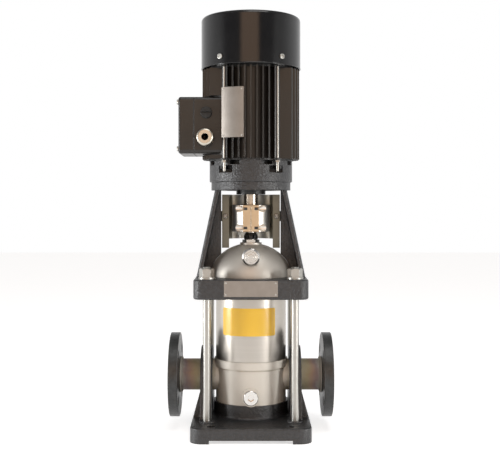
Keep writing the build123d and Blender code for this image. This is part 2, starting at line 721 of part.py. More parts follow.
def motor_stool():
    ring = extrude(
        Pos(0, 0, RING_BOTTOM) * RectangleRounded(RING_SIDE, RING_SIDE, RING_CORNER_R),
        RING_TOP - RING_BOTTOM,
    )
    ring = fillet(rim_edges(ring, RING_TOP) + rim_edges(ring, RING_BOTTOM), RING_EDGE_R)
    stool = ring
    for leg in (stool_leg(), mirror(stool_leg(), Plane.YZ)):
        stool += leg
    stool += disc(DRUM_STEP_R, DRUM_BOTTOM, DRUM_STEP_Z)
    drum = disc(DRUM_R, DRUM_STEP_Z, PAD_TOP)
    stool += fillet(rim_edges(drum, DRUM_STEP_Z), 1.5)
    stool -= disc(DRUM_BORE_R, DRUM_BOTTOM, DRUM_FACE)
    stool -= disc(PAD_INNER_R + SEAT_GAP, DRUM_FACE, PAD_TOP)
    for quarter in range(4):
        for side in (-1, 1):
            ends = sorted((side * NOTCH_FROM, side * NOTCH_TO))
            notch = sector(DRUM_R + 1, ends[0], ends[1], DRUM_FACE, PAD_TOP)
            stool -= Rot(0, 0, 90 * quarter) * notch
    pocket_low = (MOTOR_BOLT - POCKET_INWARD, MOTOR_BOLT - POCKET_BEHIND, POCKET_BOTTOM)
    pocket_high = (MOTOR_BOLT + POCKET_OUTWARD, DRUM_R + 1, POCKET_TOP)
    for pocket in corners(block(pocket_low, pocket_high)):
        stool -= pocket
    bolt_hole = disc(MOTOR_BOLT_R + SEAT_GAP, POCKET_TOP, PAD_TOP, MOTOR_BOLT, MOTOR_BOLT)
    for hole in corners(bolt_hole):
        stool -= hole
    lip_r = HEAD_R + HEAD_LIP + HEAD_GAP
    lip_top = HEAD_BOTTOM + HEAD_LIP_THICKNESS
    stool -= disc(HEAD_R + HEAD_GAP, RING_BOTTOM, RING_TOP)
    stool -= disc(lip_r, RING_BOTTOM, lip_top)
    for hole in corners(disc(STAY_R + BOLT_GAP, RING_BOTTOM, STAY_TOP, STAY, STAY)):
        stool -= hole
    spot_r = STAY_WASHER_R + BOLT_GAP
    for spot in corners(disc(spot_r, RING_TOP, STAY_TOP + STAY_NUT, STAY, STAY)):
        stool -= spot
    return stool - half_ellipsoid(HEAD_R + HEAD_GAP, HEAD_RISE + HEAD_GAP)


def flange_outline(x, y, z):
    """The plan of a leg's outer flange at one height, round at its two outer corners."""
    plan = Pos(x - LEG_WALL / 2, 0) * Rectangle(LEG_WALL, y)
    outer = plan.vertices().group_by(Axis.X)[-1]
    return Pos(0, 0, z) * fillet(outer, min(LEG_CORNER_R, LEG_WALL * 0.8))


def web_outline(x, z):
    """The plan of a leg's web at one height, from its inner edge into the flange."""
    width = x - LEG_WALL / 2 - LEG_INNER_X
    return Pos(LEG_INNER_X + width / 2, 0, z) * Rectangle(width, LEG_WEB)


def stool_leg():
    """The +X leg: a tapered flange outside, a web behind the dome, and a lug for the guard."""
    leg = loft(
        [
            flange_outline(LEG_FOOT_X, LEG_FOOT_Y, RING_TOP),
            flange_outline(LEG_HEAD_X, LEG_HEAD_Y, DRUM_BOTTOM),
        ]
    )
    leg += loft([web_outline(LEG_FOOT_X, RING_TOP), web_outline(LEG_HEAD_X, DRUM_BOTTOM)])
    arm_x = LEG_INNER_X + GUARD_ARM
    lug_y = GUARD_WING_Y + GUARD_SHEET
    low = GUARD_SCREW_Z - GUARD_LUG_Z / 2
    high = GUARD_SCREW_Z + GUARD_LUG_Z / 2
    leg += block((LEG_INNER_X, 0, low), (arm_x, lug_y + GUARD_LUG_Y, high))
    leg += block((LEG_INNER_X - GUARD_LUG_X, lug_y, low), (arm_x, lug_y + GUARD_LUG_Y, high))
    hole_start = (GUARD_SCREW_X, lug_y, GUARD_SCREW_Z)
    return leg - bar(GUARD_SCREW_R, hole_start, (0, 1, 0), GUARD_LUG_Y)


# Pump head, vent plug and seal


def pump_head():
    inner_r = HEAD_R - HEAD_WALL
    dome = half_ellipsoid(HEAD_R, HEAD_RISE) + disc(HEAD_R, HEAD_BOTTOM, RING_TOP)
    dome += disc(HEAD_R + HEAD_LIP, HEAD_BOTTOM, HEAD_BOTTOM + HEAD_LIP_THICKNESS)
    dome += disc(NECK_R, NECK_BOTTOM, NECK_TOP)
    dome += bar(VENT_BOSS_R, (0, 0, VENT_Z), (0, -1, 0), vent_face())
    hollow = half_ellipsoid(inner_r, HEAD_RISE - HEAD_WALL) + disc(inner_r, SHOULDER_Z, RING_TOP)
    dome -= hollow - disc(NECK_R, NECK_BOTTOM, NECK_TOP)
    dome -= disc(SLEEVE_R + SEAT_GAP, HEAD_BOTTOM, HEAD_SEAT)
    dome -= disc(SLEEVE_BORE_R, HEAD_SEAT, SPACER_TOP)
    dome -= disc(STACK_R - SPACER_WALL, SPACER_TOP, SHOULDER_Z)
    dome -= disc(SEAL_BORE_R, NECK_BOTTOM, NECK_TOP)
    return dome - bar(VENT_THREAD_R, (0, 0, VENT_Z), (0, -1, 0), vent_face())


def half_ellipsoid(radius, rise):
    """A dome on the level of the ring's top."""
    outline = Pos(0, RING_TOP) * Ellipse(radius, rise)
    outline &= Pos(radius / 2, RING_TOP + rise / 2) * Rectangle(radius, rise)
    return revolve(Plane.XZ * outline, Axis.Z)


def dome_radius(z):
    """The dome's outer radius at a height."""
    return HEAD_R * sqrt(1 - ((z - RING_TOP) / HEAD_RISE) ** 2)


def vent_face():
    """How far the vent boss stands from the axis: just clear of the dome below the plug."""
    return dome_radius(VENT_Z - VENT_PLUG_R) + VENT_REACH


def vent_plug():
    face = vent_face()
    plug = bar(VENT_PLUG_R, (0, -face, VENT_Z), (0, -1, 0), VENT_PLUG_HEAD)
    plug = chamfer(plug.edges().group_by(Axis.Y)[0], VENT_PLUG_CONE)
    step = (0, -face - VENT_PLUG_HEAD, VENT_Z)
    corner = VENT_HEX_FLATS * ACROSS_CORNERS / 2
    crown = chamfer(bar(corner, step, (0, -1, 0), VENT_HEX).edges().group_by(Axis.Y)[0], 1)
    plug += hexagon(VENT_HEX_FLATS, step, (0, -1, 0), VENT_HEX) & crown
    thread = face - dome_radius(VENT_Z) + HEAD_WALL
    plug += bar(VENT_THREAD_R - SEAT_GAP, (0, -face, VENT_Z), (0, 1, 0), thread)
    front = -face - VENT_PLUG_HEAD - VENT_HEX
    return plug - bar(VENT_SCREW_R + RUNNING_GAP, (0, front, VENT_Z), (0, 1, 0), VENT_SCREW_DEPTH)


def vent_screw():
    front = -vent_face() - VENT_PLUG_HEAD - VENT_HEX - RUNNING_GAP
    start = (0, front, VENT_Z)
    screw = hexagon(VENT_SCREW_FLATS, start, (0, -1, 0), VENT_SCREW_HEAD)
    return screw + bar(VENT_SCREW_R, start, (0, 1, 0), VENT_SCREW_DEPTH - 2 * RUNNING_GAP)


def seal_gland():
    gland = hexagon(GLAND_FLATS, (0, 0, NECK_TOP), (0, 0, 1), GLAND_HEX)
    gland += disc(SEAL_BORE_R - SEAT_GAP, seal_seat_top(), NECK_TOP)
    return gland - disc(SHAFT_R + GLAND_BORE, seal_seat_top(), GLAND_TOP)


def seal_seat_top():
    return NECK_BOTTOM + SEAL_SEAT_HEIGHT


def seal_seat():
    """The stationary seal face, held in the neck's bore by the gland."""
    outer = SEAL_BORE_R - SEAT_GAP
    return tube(outer, SHAFT_R + SEAL_SEAT_BORE, NECK_BOTTOM, seal_seat_top())


def seal_rotating_ring():
    top = NECK_BOTTOM - RUNNING_GAP
    return tube(SEAL_RING_R, SHAFT_R, top - SEAL_RING_HEIGHT, top)


def seal_spring():
    """The seal's spring, drawn as its close-wound sleeve, on a collar fixed to the shaft."""
    top = NECK_BOTTOM - RUNNING_GAP - SEAL_RING_HEIGHT
    spring = tube(SEAL_SPRING_R, SEAL_SPRING_R - SEAL_SPRING_WIRE, top - SEAL_SPRING_HEIGHT, top)
    collar_top = top - SEAL_SPRING_HEIGHT
    return spring + tube(SEAL_RING_R, SHAFT_R, collar_top - SEAL_SPRING_WIRE * 2, collar_top)


def seal_driver():
    """The collar on top of the seal, with slots round it, clamped to the shaft."""
    low = GLAND_TOP + FREE_GAP
    high = low + DRIVER_HEIGHT
    waist = low + DRIVER_HEIGHT / 2
    body = turned(
        (SHAFT_R, low), (DRIVER_R, low), (DRIVER_R, waist), (DRIVER_TOP_R, high), (SHAFT_R, high)
    )
    slot_low = (SHAFT_R, -DRIVER_SLOT_WIDTH / 2, low + 1.5)
    slot_high = (DRIVER_R + 1, DRIVER_SLOT_WIDTH / 2, low + 1.5 + DRIVER_SLOT_HEIGHT)
    for slot in around(block(slot_low, slot_high), DRIVER_SLOTS, 360 / DRIVER_SLOTS / 2):
        body -= slot
    return body


# Hydraulic stack


def curved_vane(inner, outer, sweep, thickness, low, high):
    """A blade that curves back as it runs out from one radius to another."""
    middle = (inner + outer) / 2
    points = []
    for radius, share in ((inner, 0), (middle, 0.42), (outer, 1)):
        turn = radians(sweep * share)
        points.append((radius * cos(turn), radius * sin(turn)))
    strip = trace(ThreePointArc(*points), line_width=thickness)
    return extrude(Pos(0, 0, low) * strip, high - low)


def stage_base(stage):
    return STACK_BASE + stage * STAGE_HEIGHT


def stage_chambers():
    """Each stage's cup: a floor round the eye, a wall, and a disc carried by return vanes."""
    eye = IMPELLER_EYE_R + NECK_RING_WALL
    cup = tube(STACK_R, STACK_R - STACK_SHEET, 0, STAGE_HEIGHT)
    cup += tube(STACK_R, eye, 0, STACK_SHEET)
    hub_hole = IMPELLER_HUB_R + HUB_HOLE_GAP
    disc_top = RETURN_DISC_Z + STACK_SHEET
    cup += tube(RETURN_DISC_R, hub_hole, RETURN_DISC_Z, disc_top)
    tip = STACK_R - STACK_SHEET / 2
    vane = curved_vane(eye, tip, RETURN_SWEEP, VANE_THICKNESS, disc_top, STAGE_HEIGHT)
    for copy in around(vane, RETURN_VANES):
        cup += copy
    return [Pos(0, 0, stage_base(i)) * cup for i in range(STAGES)]


def neck_rings():
    """The wear ring in each stage's floor, round the impeller's eye."""
    outer = IMPELLER_EYE_R + NECK_RING_WALL
    inner = IMPELLER_EYE_R + FREE_GAP
    ring = tube(outer, inner, 0, NECK_RING_HEIGHT / 2)
    return [Pos(0, 0, stage_base(i)) * ring for i in range(STAGES)]


def impellers():
    """Closed impellers: a hub, two shrouds and swept-back blades, with the eye below."""
    low = IMPELLER_LIFT
    high = low + IMPELLER_WIDTH
    eye_in = IMPELLER_EYE_R - IMPELLER_SHEET
    wheel = tube(IMPELLER_HUB_R, SHAFT_R, 0, STAGE_HEIGHT)
    wheel += tube(IMPELLER_R, SHAFT_R, high - IMPELLER_SHEET, high)
    front = tube(IMPELLER_R, eye_in, low, low + IMPELLER_SHEET)
    front += tube(IMPELLER_EYE_R, eye_in, NECK_RING_HEIGHT / 4, low)
    half = IMPELLER_SHEET / 2
    root = IMPELLER_HUB_R - 2
    tip = IMPELLER_R - 1
    blade = curved_vane(root, tip, -IMPELLER_SWEEP, VANE_THICKNESS, low + half, high - half)
    for copy in around(blade, IMPELLER_BLADES):
        wheel += copy
    wheel += front
    return [Pos(0, 0, stage_base(i)) * wheel for i in range(STAGES)]


def stack_spacer():
    """The windowed ring that holds the stack down and lets the last stage out to the annulus."""
    ring = tube(STACK_R, STACK_R - SPACER_WALL, STACK_TOP, SPACER_TOP)
    half = SPACER_WINDOW_WIDTH / 2
    low = (STACK_R - 2 * SPACER_WALL, -half, STACK_TOP + SPACER_WINDOW_RIM)
    high = (STACK_R + 1, half, SPACER_TOP - SPACER_WINDOW_RIM)
    for window in around(block(low, high), SPACER_WINDOWS):
        ring -= window
    return ring


def shaft_bush():
    """The lower bearing bush, on a spider seated in the chamber's eye."""
    top = bush_top()
    low = top - BUSH_LENGTH
    inner = SHAFT_R + RUNNING_GAP
    outer = inner + BUSH_WALL
    spider = tube(outer, inner, low, top)
    middle = (low + top) / 2
    half = BUSH_SPIDER_ARM / 2
    arm = block((inner + 1, -half, middle - half), (EYE_R - BUSH_WALL / 4, half, middle + half))
    for copy in around(arm, BUSH_SPIDER_ARMS, 90):
        spider += copy
    rim = tube(EYE_R - SEAT_GAP, EYE_R - BUSH_WALL / 2, middle - half, middle + half)
    return spider + rim


# Shafts and coupling


def bush_top():
    """The bush sits below the suction passage."""
    return PORT_HEIGHT - THROAT_R - BUSH_DROP


def shaft_bottom():
    return bush_top() - BUSH_LENGTH - SHAFT_TAIL


def pump_shaft():
    top = COUPLING_STEP - COUPLING_SHAFT_GAP / 2
    shaft = disc(SHAFT_R, shaft_bottom(), top)
    shaft = chamfer(shaft.edges().filter_by(GeomType.CIRCLE), 1)
    return shaft - bar(PIN_R, (0, -PIN_HALF, PIN_Z), (0, 1, 0), 2 * PIN_HALF)


def shaft_nut():
    low = STACK_BASE - SHAFT_NUT - SHAFT_WASHER
    nut = hexagon(SHAFT_NUT_FLATS, (0, 0, low), (0, 0, 1), SHAFT_NUT)
    return nut - disc(SHAFT_R, low, low + SHAFT_NUT)


def shaft_washer():
    return tube(SHAFT_WASHER_R, SHAFT_R, STACK_BASE - SHAFT_WASHER, STACK_BASE)


def clamp_places():
    """The heights of the clamp screws and which side each one's head is on."""
    low = COUPLING_BOTTOM + CLAMP_EDGE
    high = COUPLING_TOP - CLAMP_EDGE
    return [(-1, low, 1), (-1, high, 1), (1, low, -1), (1, high, -1)]


def coupling_half():
    """The +X half of the coupling: a half shell with an ear at the front and at the back."""
    far = COUPLING_R + 1
    half = disc(COUPLING_R, COUPLING_BOTTOM, COUPLING_TOP)
    half &= block((-far, -EAR_REACH, COUPLING_BOTTOM), (far, EAR_REACH, COUPLING_TOP))
    half += block((-EAR_HALF, -EAR_REACH, COUPLING_BOTTOM), (EAR_HALF, EAR_REACH, COUPLING_TOP))
    half = chamfer(rim_edges(half, COUPLING_TOP) + rim_edges(half, COUPLING_BOTTOM), 1)
    half -= disc(SHAFT_R + SEAT_GAP, COUPLING_BOTTOM, COUPLING_STEP)
    half -= disc(MOTOR_SHAFT_R + SEAT_GAP, COUPLING_STEP, COUPLING_TOP)
    half -= bar(PIN_R + SEAT_GAP, (0, -PIN_HALF, PIN_Z), (0, 1, 0), 2 * PIN_HALF)
    half -= block((-far, -far - 1, COUPLING_BOTTOM), (EAR_SPLIT / 2, far + 1, COUPLING_TOP))
    for side, height, _ in clamp_places():
        centre = (0, side * CLAMP_OFFSET, height)
        half -= bar(CLAMP_SCREW_R + SEAT_GAP, centre, (1, 0, 0), far)
        floor = (CLAMP_WEB, side * CLAMP_OFFSET, height)
        half -= bar(CLAMP_POCKET_R, floor, (1, 0, 0), far)
    return half


def coupling_halves():
    half = coupling_half()
    return [half, mirror(half, Plane.YZ)]


def coupling_screws():
    screws = []
    for side, height, head in clamp_places():
        place = (head * CLAMP_WEB, side * CLAMP_OFFSET, height)
        screw = bar(CLAMP_HEAD_R, place, (head, 0, 0), CLAMP_HEAD)
        length = 2 * CLAMP_WEB + CLAMP_NUT + 1
        screw += bar(CLAMP_SCREW_R, place, (-head, 0, 0), length)
        mouth = (head * (CLAMP_WEB + CLAMP_HEAD), side * CLAMP_OFFSET, height)
        screws.append(screw - hexagon(CLAMP_HEAD_R, mouth, (-head, 0, 0), CLAMP_HEAD / 2))
    return screws


def coupling_nuts():
    nuts = []
    for side, height, head in clamp_places():
        place = (-head * CLAMP_WEB, side * CLAMP_OFFSET, height)
        nut = hexagon(CLAMP_NUT_FLATS, place, (-head, 0, 0), CLAMP_NUT)
        nuts.append(nut - bar(CLAMP_SCREW_R, place, (-head, 0, 0), CLAMP_NUT))
    return nuts


def coupling_pin():
    return bar(PIN_R, (0, -PIN_HALF, PIN_Z), (0, 1, 0), 2 * PIN_HALF)


def coupling_guard():
    """The rear guard: a half-round sheet with a flat wing along each side."""
    outer = GUARD_R + GUARD_SHEET
    sheet = tube(outer, GUARD_R, GUARD_BOTTOM, GUARD_TOP)
    wing_y = GUARD_WING_Y
    sheet -= block((-outer, -outer, GUARD_BOTTOM), (outer, wing_y, GUARD_TOP))
    edge = sqrt(GUARD_R**2 - wing_y**2)
    wing_low = GUARD_BOTTOM - GUARD_WING_DROP
    for side in (-1, 1):
        ends = sorted((side * edge, side * GUARD_WING_X))
        sheet += block((ends[0], wing_y, wing_low), (ends[1], wing_y + GUARD_SHEET, GUARD_TOP))
        hole = (side * GUARD_SCREW_X, wing_y, GUARD_SCREW_Z)
        sheet -= bar(GUARD_SCREW_R, hole, (0, 1, 0), GUARD_SHEET)
    return sheet


def guard_screws():
    start = (GUARD_SCREW_X, GUARD_WING_Y, GUARD_SCREW_Z)
    head = bar(GUARD_SCREW_HEAD_R, start, (0, -1, 0), GUARD_SCREW_HEAD)
    head = fillet(head.edges().group_by(Axis.Y)[0], GUARD_SCREW_HEAD * 0.6)
    screw = head + bar(GUARD_SCREW_R, start, (0, 1, 0), GUARD_SHEET + GUARD_LUG_Y)
    return [screw, mirror(screw, Plane.YZ)]


# Motor


def motor_shaft():
    bottom = COUPLING_STEP + COUPLING_SHAFT_GAP / 2
    low_end = LOWER_BEARING_Z + BEARING_WIDTH
    shaft = disc(MOTOR_SHAFT_R, bottom, LOWER_BEARING_Z)
    shaft += disc(BEARING_BORE_R, LOWER_BEARING_Z, low_end)
    shaft += disc(CORE_SHAFT_R, low_end, UPPER_BEARING_Z)
    shaft += disc(BEARING_BORE_R, UPPER_BEARING_Z, UPPER_BEARING_Z + BEARING_WIDTH)
    shaft += disc(FAN_SHAFT_R, UPPER_BEARING_Z + BEARING_WIDTH, FAN_SHAFT_TOP)
    return chamfer(rim_edges(shaft, FAN_SHAFT_TOP) + rim_edges(shaft, bottom), 1)


def bearing_lows():
    return (LOWER_BEARING_Z, UPPER_BEARING_Z)


def bearing_inner_rings():
    outer = BEARING_BORE_R + BEARING_INNER_WALL
    return [tube(outer, BEARING_BORE_R, z, z + BEARING_WIDTH) for z in bearing_lows()]


def bearing_outer_rings():
    inner = BEARING_R - BEARING_OUTER_WALL
    return [tube(BEARING_R, inner, z, z + BEARING_WIDTH) for z in bearing_lows()]


def bearing_balls():
    race_in = BEARING_BORE_R + BEARING_INNER_WALL
    race_out = BEARING_R - BEARING_OUTER_WALL
    radius = (race_out - race_in) / 2 - RUNNING_GAP
    balls = []
    for z in bearing_lows():
        ball = Pos((race_in + race_out) / 2, 0, z + BEARING_WIDTH / 2) * Sphere(radius)
        balls += around(ball, BEARING_BALLS)
    return balls


def lower_end_shield():
    """The drive-end shield: flange on the stool's pads, hub below, register in the frame above."""
    rim_r = DRUM_R
    shield = disc(rim_r, PAD_TOP, FRAME_BOTTOM)
    shield += disc(PAD_INNER_R, DRUM_FACE, PAD_TOP)
    shield += disc(HUB_BODY_R, HUB_BODY_BOTTOM, DRUM_FACE)
    shield += disc(HUB_R, HUB_BOTTOM, HUB_BODY_BOTTOM)
    shield += disc(CORE_R, FRAME_BOTTOM, FRAME_BOTTOM + SHIELD_SPIGOT_DEPTH)
    for lug in corners(tie_lug(PAD_TOP, FRAME_BOTTOM)):
        shield += lug
    bowl_floor = LOWER_BEARING_Z + BEARING_WIDTH + SHIELD_RIM
    spigot_top = FRAME_BOTTOM + SHIELD_SPIGOT_DEPTH
    shield -= disc(CORE_R - SHIELD_WALL, bowl_floor + SHIELD_WALL, spigot_top)
    shield -= disc(BEARING_R, LOWER_BEARING_Z, bowl_floor + SHIELD_WALL)
    shield -= disc(MOTOR_SHAFT_R + FREE_GAP, HUB_BOTTOM, LOWER_BEARING_Z)
    for hole in corners(disc(TIE_R + SEAT_GAP, PAD_TOP, FRAME_BOTTOM, TIE_X, TIE_Y)):
        shield -= hole
    bolt = disc(MOTOR_BOLT_R + SEAT_GAP, PAD_TOP, FRAME_BOTTOM, MOTOR_BOLT, MOTOR_BOLT)
    for hole in corners(bolt):
        shield -= hole
    return shield


def tie_lug(low, high):
    """A lug that carries a tie rod, joined inward to the shield's rim."""
    lug = disc(TIE_LUG_R, low, high, TIE_X, TIE_Y)
    reach = sqrt(TIE_X**2 + TIE_Y**2)
    web = block((PAD_INNER_R + 8, -TIE_LUG_R, low), (reach, TIE_LUG_R, high))
    return lug + Rot(0, 0, -FRONT - TIE_ANGLE) * web


def fin_positions(count):
    return [FIN_PITCH * (i - (count - 1) / 2) for i in range(count)]


def motor_frame():
    """The finned aluminium frame: one extruded section of barrel and straight fins."""
    section = Circle(BARREL_R)
    length = 2 * FIN_TIP_R
    for x in fin_positions(FRONT_FINS):
        section += Pos(x, 0) * Rectangle(FIN_THICKNESS, length)
    for y in fin_positions(SIDE_FINS):
        section += Pos(FIN_TIP_R / 2, y) * Rectangle(FIN_TIP_R, FIN_THICKNESS)
    for y in (-EDGE_FIN_Y, EDGE_FIN_Y):
        section += Pos(FIN_TIP_R / 2, y) * Rectangle(FIN_TIP_R, EDGE_FIN_THICKNESS)
    section &= Circle(FIN_TIP_R)
    section &= Rectangle(2 * FRAME_HALF_X, length)
    section -= Circle(CORE_R + SEAT_GAP)
    frame = extrude(Pos(0, 0, FRAME_BOTTOM) * section, FRAME_HEIGHT)
    side = motor_side_fins()
    return frame + side


def motor_side_fins():
    """Fins on the terminal box's side, above and below the box."""
    fins = None
    for y in [*fin_positions(SIDE_FINS), -EDGE_FIN_Y, EDGE_FIN_Y]:
        thick = EDGE_FIN_THICKNESS if abs(y) == EDGE_FIN_Y else FIN_THICKNESS
        root = sqrt((CORE_R + SEAT_GAP) ** 2 - y**2) + SHIELD_WALL / 2
        tip = min(sqrt(FIN_TIP_R**2 - y**2), FRAME_HALF_X)
        for low, high in ((FRAME_BOTTOM, BOX_BOTTOM - 2), (BOX_TOP + 2, FRAME_TOP)):
            fin = block((-tip, y - thick / 2, low), (-root, y + thick / 2, high))
            fins = fin if fins is None else fins + fin
    return fins


def stator_core():
    """The laminated core, with winding slots round its bore."""
    core = tube(CORE_R, CORE_BORE_R, CORE_LOW, CORE_HIGH)
    slot_low = (CORE_BORE_R + 2, -SLOT_WIDTH / 2, CORE_LOW)
    slot_high = (CORE_BORE_R + 2 + SLOT_DEPTH, SLOT_WIDTH / 2, CORE_HIGH)
    for slot in around(block(slot_low, slot_high), STATOR_SLOTS):
        core -= slot
    return core


def stator_windings():
    """The coils: a bar in every slot, joined by a ring of end turns above and below."""
    inner = CORE_BORE_R + 2
    outer = inner + SLOT_DEPTH
    coils = tube(outer + WINDING_INSET, inner, CORE_HIGH, CORE_HIGH + WINDING_HEIGHT)
    coils += tube(outer + WINDING_INSET, inner, CORE_LOW - WINDING_HEIGHT, CORE_LOW)
    gap = SEAT_GAP
    low = (inner + gap, -SLOT_WIDTH / 2 + gap, CORE_LOW)
    high = (outer - gap, SLOT_WIDTH / 2 - gap, CORE_HIGH)
    for coil in around(block(low, high), STATOR_SLOTS):
        coils += coil
    return coils


def rotor_core():
    """The rotor's laminations between the two short-circuit rings."""
    outer = CORE_BORE_R - AIR_GAP
    rotor = tube(outer, CORE_SHAFT_R, CORE_LOW, CORE_HIGH)
    ring_in = outer - END_RING_WALL
    rotor += tube(outer - 1, ring_in, CORE_LOW - END_RING_HEIGHT, CORE_LOW)
    return rotor + tube(outer - 1, ring_in, CORE_HIGH, CORE_HIGH + END_RING_HEIGHT)


def upper_end_shield():
    """The fan-end shield, with lugs for the tie rods and for the fan cover's screws."""
    shield = disc(BARREL_R, FRAME_TOP, SHIELD_TOP)
    shield += disc(CORE_R, FRAME_TOP - SHIELD_WALL, FRAME_TOP)
    shield += disc(HUB_BODY_R, UPPER_BEARING_Z - SHIELD_RIM, FRAME_TOP)
    for lug in corners(tie_lug(FRAME_TOP, SHIELD_TOP)):
        shield += lug
    outer = COVER_R - COVER_SHEET - SEAT_GAP
    inner = outer - COVER_LUG_DEPTH
    half = COVER_LUG_WIDTH / 2
    top = COVER_SCREW_Z + COVER_LUG_RISE
    post = block((inner - 4, -half, FRAME_TOP + 1), (outer + 1, half, SHIELD_TOP))
    post += block((inner, -half, SHIELD_TOP), (outer + 1, half, top))
    post &= disc(outer, FRAME_TOP, top)
    for angle in cover_screw_angles():
        shield += Rot(0, 0, angle) * post
    shield -= disc(CORE_R - SHIELD_WALL, UPPER_BEARING_Z - SHIELD_RIM, FRAME_TOP - SHIELD_WALL / 2)
    shield += tube(HUB_BODY_R, BEARING_R, UPPER_BEARING_Z - SHIELD_RIM, FRAME_TOP)
    shield -= disc(BEARING_R, UPPER_BEARING_Z - SHIELD_RIM, UPPER_BEARING_Z + BEARING_WIDTH)
    shield -= disc(BEARING_BORE_R + FREE_GAP, FRAME_TOP, SHIELD_TOP)
    for hole in corners(disc(TIE_R + SEAT_GAP, FRAME_TOP, SHIELD_TOP, TIE_X, TIE_Y)):
        shield -= hole
    for angle in cover_screw_angles():
        hole = bar(COVER_SCREW_R, (inner, 0, COVER_SCREW_Z), (1, 0, 0), outer)
        shield -= Rot(0, 0, angle) * hole
    return shield


def cover_screw_angles():
    """The directions of the four cover screws, over the tie rods."""
    off = COVER_SCREW_ANGLE
    return (FRONT - off, FRONT + off, -FRONT - off, -FRONT + off)


def tie_rods():
    """Rods from a nut under the lower shield up into the upper shield's lugs."""
    low = PAD_TOP - TIE_NUT
    rod = disc(TIE_R, low - TIE_TAIL, SHIELD_TOP, TIE_X, TIE_Y)
    return corners(rod + hexagon(TIE_NUT_FLATS, (TIE_X, TIE_Y, low), (0, 0, 1), TIE_NUT))


def motor_bolts():
    """Hex bolts up through the stool's pads into the motor's flange."""
    low = POCKET_TOP - MOTOR_BOLT_HEAD
    bolt = hexagon(MOTOR_BOLT_FLATS, (MOTOR_BOLT, MOTOR_BOLT, low), (0, 0, 1), MOTOR_BOLT_HEAD)
    return corners(bolt + disc(MOTOR_BOLT_R, POCKET_TOP, FRAME_BOTTOM, MOTOR_BOLT, MOTOR_BOLT))


def cooling_fan():
    fan = tube(FAN_HUB_R, FAN_SHAFT_R, FAN_BOTTOM, FAN_BOTTOM + FAN_HUB_HEIGHT)
    fan += tube(FAN_R, FAN_SHAFT_R, FAN_BOTTOM, FAN_BOTTOM + FAN_DISC)
    half = FAN_BLADE / 2
    top = FAN_BOTTOM + FAN_DISC + FAN_BLADE_HEIGHT
    outline = Polyline(
        (FAN_HUB_R - 2, 0, FAN_BOTTOM + 1),
        (FAN_R, 0, FAN_BOTTOM + 1),
        (FAN_R, 0, top - FAN_BLADE_HEIGHT / 3),
        (FAN_R - FAN_BLADE_HEIGHT / 3, 0, top),
        (FAN_HUB_R - 2, 0, top),
        close=True,
    )
    blade = extrude(make_face(outline), half, both=True)
    for copy in around(blade, FAN_BLADES):
        fan += copy
    return fan


def fan_cover():
    """A deep-drawn cover with rings of radial slots in its top for the air."""
    cup = disc(COVER_R, COVER_BOTTOM, COVER_TOP)
    cup = fillet(rim_edges(cup, COVER_TOP), COVER_EDGE_R)
    inside = disc(COVER_R - COVER_SHEET, COVER_BOTTOM, COVER_TOP - COVER_SHEET)
    inside = fillet(rim_edges(inside, COVER_TOP - COVER_SHEET), COVER_EDGE_R - COVER_SHEET)
    cup -= inside
    slots = []
    for (inner, outer), count in zip(GRILLE_RINGS, GRILLE_COUNTS):
        low = (inner, -GRILLE_SLOT / 2, COVER_TOP - 2 * COVER_SHEET)
        high = (outer, GRILLE_SLOT / 2, COVER_TOP + 1)
        slots += around(block(low, high), count)
    cup -= slots
    for angle in cover_screw_angles():
        hole = bar(COVER_SCREW_R, (0, 0, COVER_SCREW_Z), (1, 0, 0), COVER_R + 1)
        cup -= Rot(0, 0, angle) * hole
    return cup


def fan_cover_screws():
    depth = COVER_SHEET + COVER_LUG_DEPTH
    screw = bar(COVER_SCREW_R, (COVER_R - depth, 0, COVER_SCREW_Z), (1, 0, 0), depth)
    head = bar(COVER_SCREW_HEAD_R, (COVER_R, 0, COVER_SCREW_Z), (1, 0, 0), COVER_SCREW_HEAD)
    head = fillet(head.edges().group_by(Axis.X)[-1], COVER_SCREW_HEAD * 0.5)
    screw += head
    return [Rot(0, 0, angle) * screw for angle in cover_screw_angles()]


# Terminal box


def box_profile():
    """The box's outline, seen from its lid."""
    middle = (BOX_BOTTOM + BOX_TOP) / 2
    height = BOX_TOP - BOX_BOTTOM
    return Plane.YZ * Pos(0, middle) * RectangleRounded(2 * BOX_Y, height, BOX_CORNER_R)


def inner_profile():
    middle = (BOX_BOTTOM + BOX_TOP) / 2
    height = BOX_TOP - BOX_BOTTOM - 2 * BOX_WALL
    outline = RectangleRounded(2 * (BOX_Y - BOX_WALL), height, BOX_CORNER_R - BOX_WALL / 2)
    return Plane.YZ * Pos(0, middle) * outline


def box_saddle_r():
    return BARREL_R + SEAT_GAP


